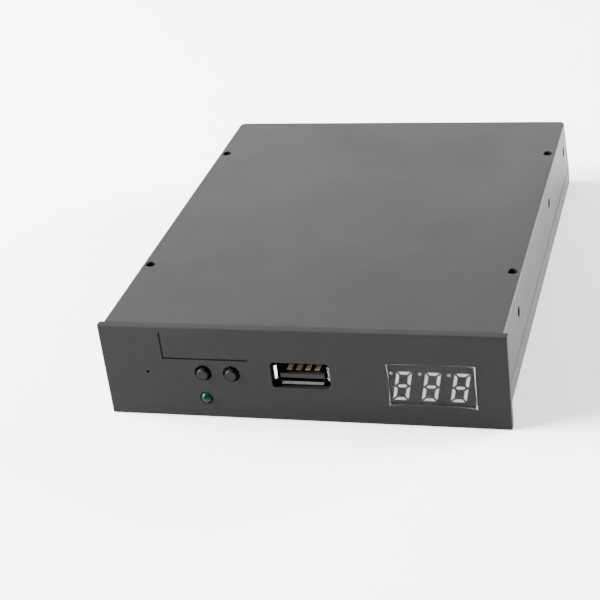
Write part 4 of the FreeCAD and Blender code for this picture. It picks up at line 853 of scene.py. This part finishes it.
def film_pull(u, v):
    """A slight inward draw of the edges, in millimetres; only the rim of the sheet moves."""
    side_draw = 0.28 if u < 0 else -0.112
    level_draw = -0.16 if v > 0 else 0.16
    rim_only = 6
    waist = side_draw * math.cos(v * math.pi / 2) * abs(u) ** rim_only
    sag = level_draw * math.cos(u * math.pi / 2) * abs(v) ** rim_only
    return waist, sag


print("film spans", round(2 * half_wide, 1), "by", round(2 * half_tall, 1), "mm")

# %% Film mesh
wide_steps, tall_steps = 44, 24
row_size = wide_steps + 1
corners, faces = [], []
for layer in (0, film_thick):
    for j in range(tall_steps + 1):
        for i in range(wide_steps + 1):
            u, v = 2 * i / wide_steps - 1, 2 * j / tall_steps - 1
            pull_x, pull_z = film_pull(u, v)
            x, z = film_x + u * half_wide + pull_x, film_z + v * half_tall + pull_z
            corners.append(at(x, -film_lift(u, v) - layer, z))
layer_size = (tall_steps + 1) * row_size
for j in range(tall_steps):
    for i in range(wide_steps):
        a = j * row_size + i
        b = a + row_size
        faces.append((a, b, b + 1, a + 1))
        faces.append(tuple(layer_size + k for k in (a, a + 1, b + 1, b)))
rim = [(0, i) for i in range(wide_steps)]
rim += [(j, wide_steps) for j in range(tall_steps)]
rim += [(tall_steps, i) for i in range(wide_steps, 0, -1)]
rim += [(j, 0) for j in range(tall_steps, 0, -1)]
loop = [j * row_size + i for j, i in rim]
for here, there in zip(loop, loop[1:] + loop[:1]):
    faces.append((here, there, there + layer_size, here + layer_size))
print("film mesh with", len(corners), "corners and", len(faces), "faces")

# %% Film finish
film = Finish("film_painted_edge_glints", Roughness=0.09, IOR=1.45)
glint_white = film.ramp(film.noise(300, 4), (0.3, (0.50, 0.51, 0.52)), (0.7, (0.59, 0.60, 0.61)))
# The white rim is a painted highlight: the film's edges catching the light, brighter at the left and
# right edges than at the top and bottom, and broken into patches.
edge_glints = []
for letter, middle, half_size, bright, reach in (
    ("X", film_x, half_wide, 0.48, 0.40),
    ("Z", film_z, half_tall, 0.12, 0.26),
):
    # The distance to the nearer of two opposite edges, in millimetres.
    shifted = film.maths("SUBTRACT", coordinate(film, film.place, letter), middle * MM)
    gap = film.maths("SUBTRACT", half_size * MM, film.maths("ABSOLUTE", shifted))
    in_millimetres = film.maths("MULTIPLY", gap, 1 / MM)
    edge_glints.append(film.ramp(in_millimetres, (0.0, bright), (reach * 0.5, bright * 0.4), (reach, 0.0)))
glint_breaks = film.ramp(film.noise(330, 3), (0.36, 0.15), (0.60, 1.0))
painted_edge_glint = film.maths("MULTIPLY", film.maths("MAXIMUM", *edge_glints), glint_breaks)
least_alpha = 0.003
film.set(Base_Color=glint_white, Alpha=film.maths("ADD", painted_edge_glint, least_alpha))
film.set(Normal=film.bump(film.noise(220, 3), 0.05 * MM, strength=0.6))
sheet = piece("protective_film", corners, faces, film, smooth=True)
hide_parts("display_film")
print(film.material.name, "on", sheet.name)

# %% [markdown]
# ## The stage
# The drive stands on the bezel's lower edge and on the rear edge of its case, which is higher,
# so the floor under it is tilted by about two degrees against the drive's own axes. The floor
# is plain pale paper, wide enough that its edge stays far away.

# %% Floor
bezel_back = low("upper_case").y - bezel_front
# The rear edge is rounded, so the case touches the floor a little in front of its end.
rounding = 0.7
front_contact = at(0, bezel_back, 0)
rear_contact = at(0, drive_rear - bezel_front - rounding, case_floor)
rise = math.atan2(rear_contact.z - front_contact.z, rear_contact.y - front_contact.y)
floor_size = 12.0
bpy.ops.mesh.primitive_plane_add(size=floor_size, location=front_contact)
floor = bpy.context.object
floor.name = "studio_floor"
floor.rotation_euler = (rise, 0, 0)
paper = Finish("studio_paper", Roughness=0.7)
paper.set(
    Base_Color=paper.ramp(paper.noise(6, 3), (0.3, (0.80, 0.80, 0.80)), (0.7, (0.84, 0.84, 0.84))),
    Normal=paper.bump(paper.noise(900, 3), 0.02 * MM),
)
floor.data.materials.append(paper.material)
print("floor tilt", round(math.degrees(rise), 2), "degrees")

# %% [markdown]
# ## Light
# The roof of the case is brighter than the bezel and grows paler towards the back, so a low
# strip stands behind the drive and is mirrored in the satin roof. A strong softbox at the left
# whitens the floor and throws the shadow to the right. A strip at the right lights the side
# wall, and a pale room fills the rest. The floor is almost white in the photograph, so the
# dark plastics need colours far darker than they look.

# %% Lights
def area_light(name, place, target, size, power):
    """A rectangular lamp; place, target and size are in metres, power is in watts."""
    lamp = bpy.data.lights.new(name, "AREA")
    lamp.shape = "RECTANGLE"
    lamp.size, lamp.size_y = size
    lamp.energy = power
    thing = bpy.data.objects.new(name, lamp)
    bpy.context.scene.collection.objects.link(thing)
    thing.location = place
    thing.rotation_euler = (Vector(target) - Vector(place)).to_track_quat("-Z", "Y").to_euler()
    print(name, "with", power, "W")


area_light(
    "back_strip", place=(-0.35, 1.2, 0.42), target=(0, 0.06, 0), size=(1.3, 0.4), power=11.3)
area_light(
    "left_softbox", place=(-0.85, -0.15, 0.5), target=(0, 0, 0), size=(0.7, 0.7), power=148.0)
area_light(
    "right_strip", place=(0.95, 0.45, 0.2), target=(0.05, 0, 0), size=(0.6, 0.4), power=138.0)

# %% The room
room = bpy.data.worlds.new("pale_room")
room.use_nodes = True
room_light = room.node_tree.nodes["Background"]
room_light.inputs["Color"].default_value = (0.95, 0.96, 0.97, 1.0)
room_light.inputs["Strength"].default_value = 0.25
bpy.context.scene.world = room
print("room light strength", room_light.inputs["Strength"].default_value)

# %% [markdown]
# ## Camera
# A camera can be placed by eye, but this one was fitted to the photograph's upper picture from
# known sizes: the bezel, the screw holes and the case edges. So a render can be laid over the
# picture. The fit gave the lens, the place and two directions, forward and roughly up. The
# camera looks down from the right with a long lens, and the whole drive is in the middle of
# the frame.

# %% Camera
sensor_width, fitted_lens = 36.0, 98.4
fitted_place = at(107.6, -322.0, 217.9)
fitted_forward = Vector((-0.2728, 0.8355, -0.4769))
fitted_up = Vector((-0.0242, 0.4897, 0.8715))
camera_data = bpy.data.cameras.new("photo_camera")
camera_data.sensor_width = sensor_width
camera_data.lens = fitted_lens
camera = bpy.data.objects.new("photo_camera", camera_data)
bpy.context.scene.collection.objects.link(camera)
forward = fitted_forward.normalized()
right = forward.cross(fitted_up).normalized()
up = right.cross(forward)
turn = Matrix((right, up, -forward)).transposed()
camera.matrix_world = Matrix.Translation(fitted_place) @ turn.to_4x4()
bpy.context.scene.camera = camera
print("camera", round(fitted_place.length, 3), "m from the drive")
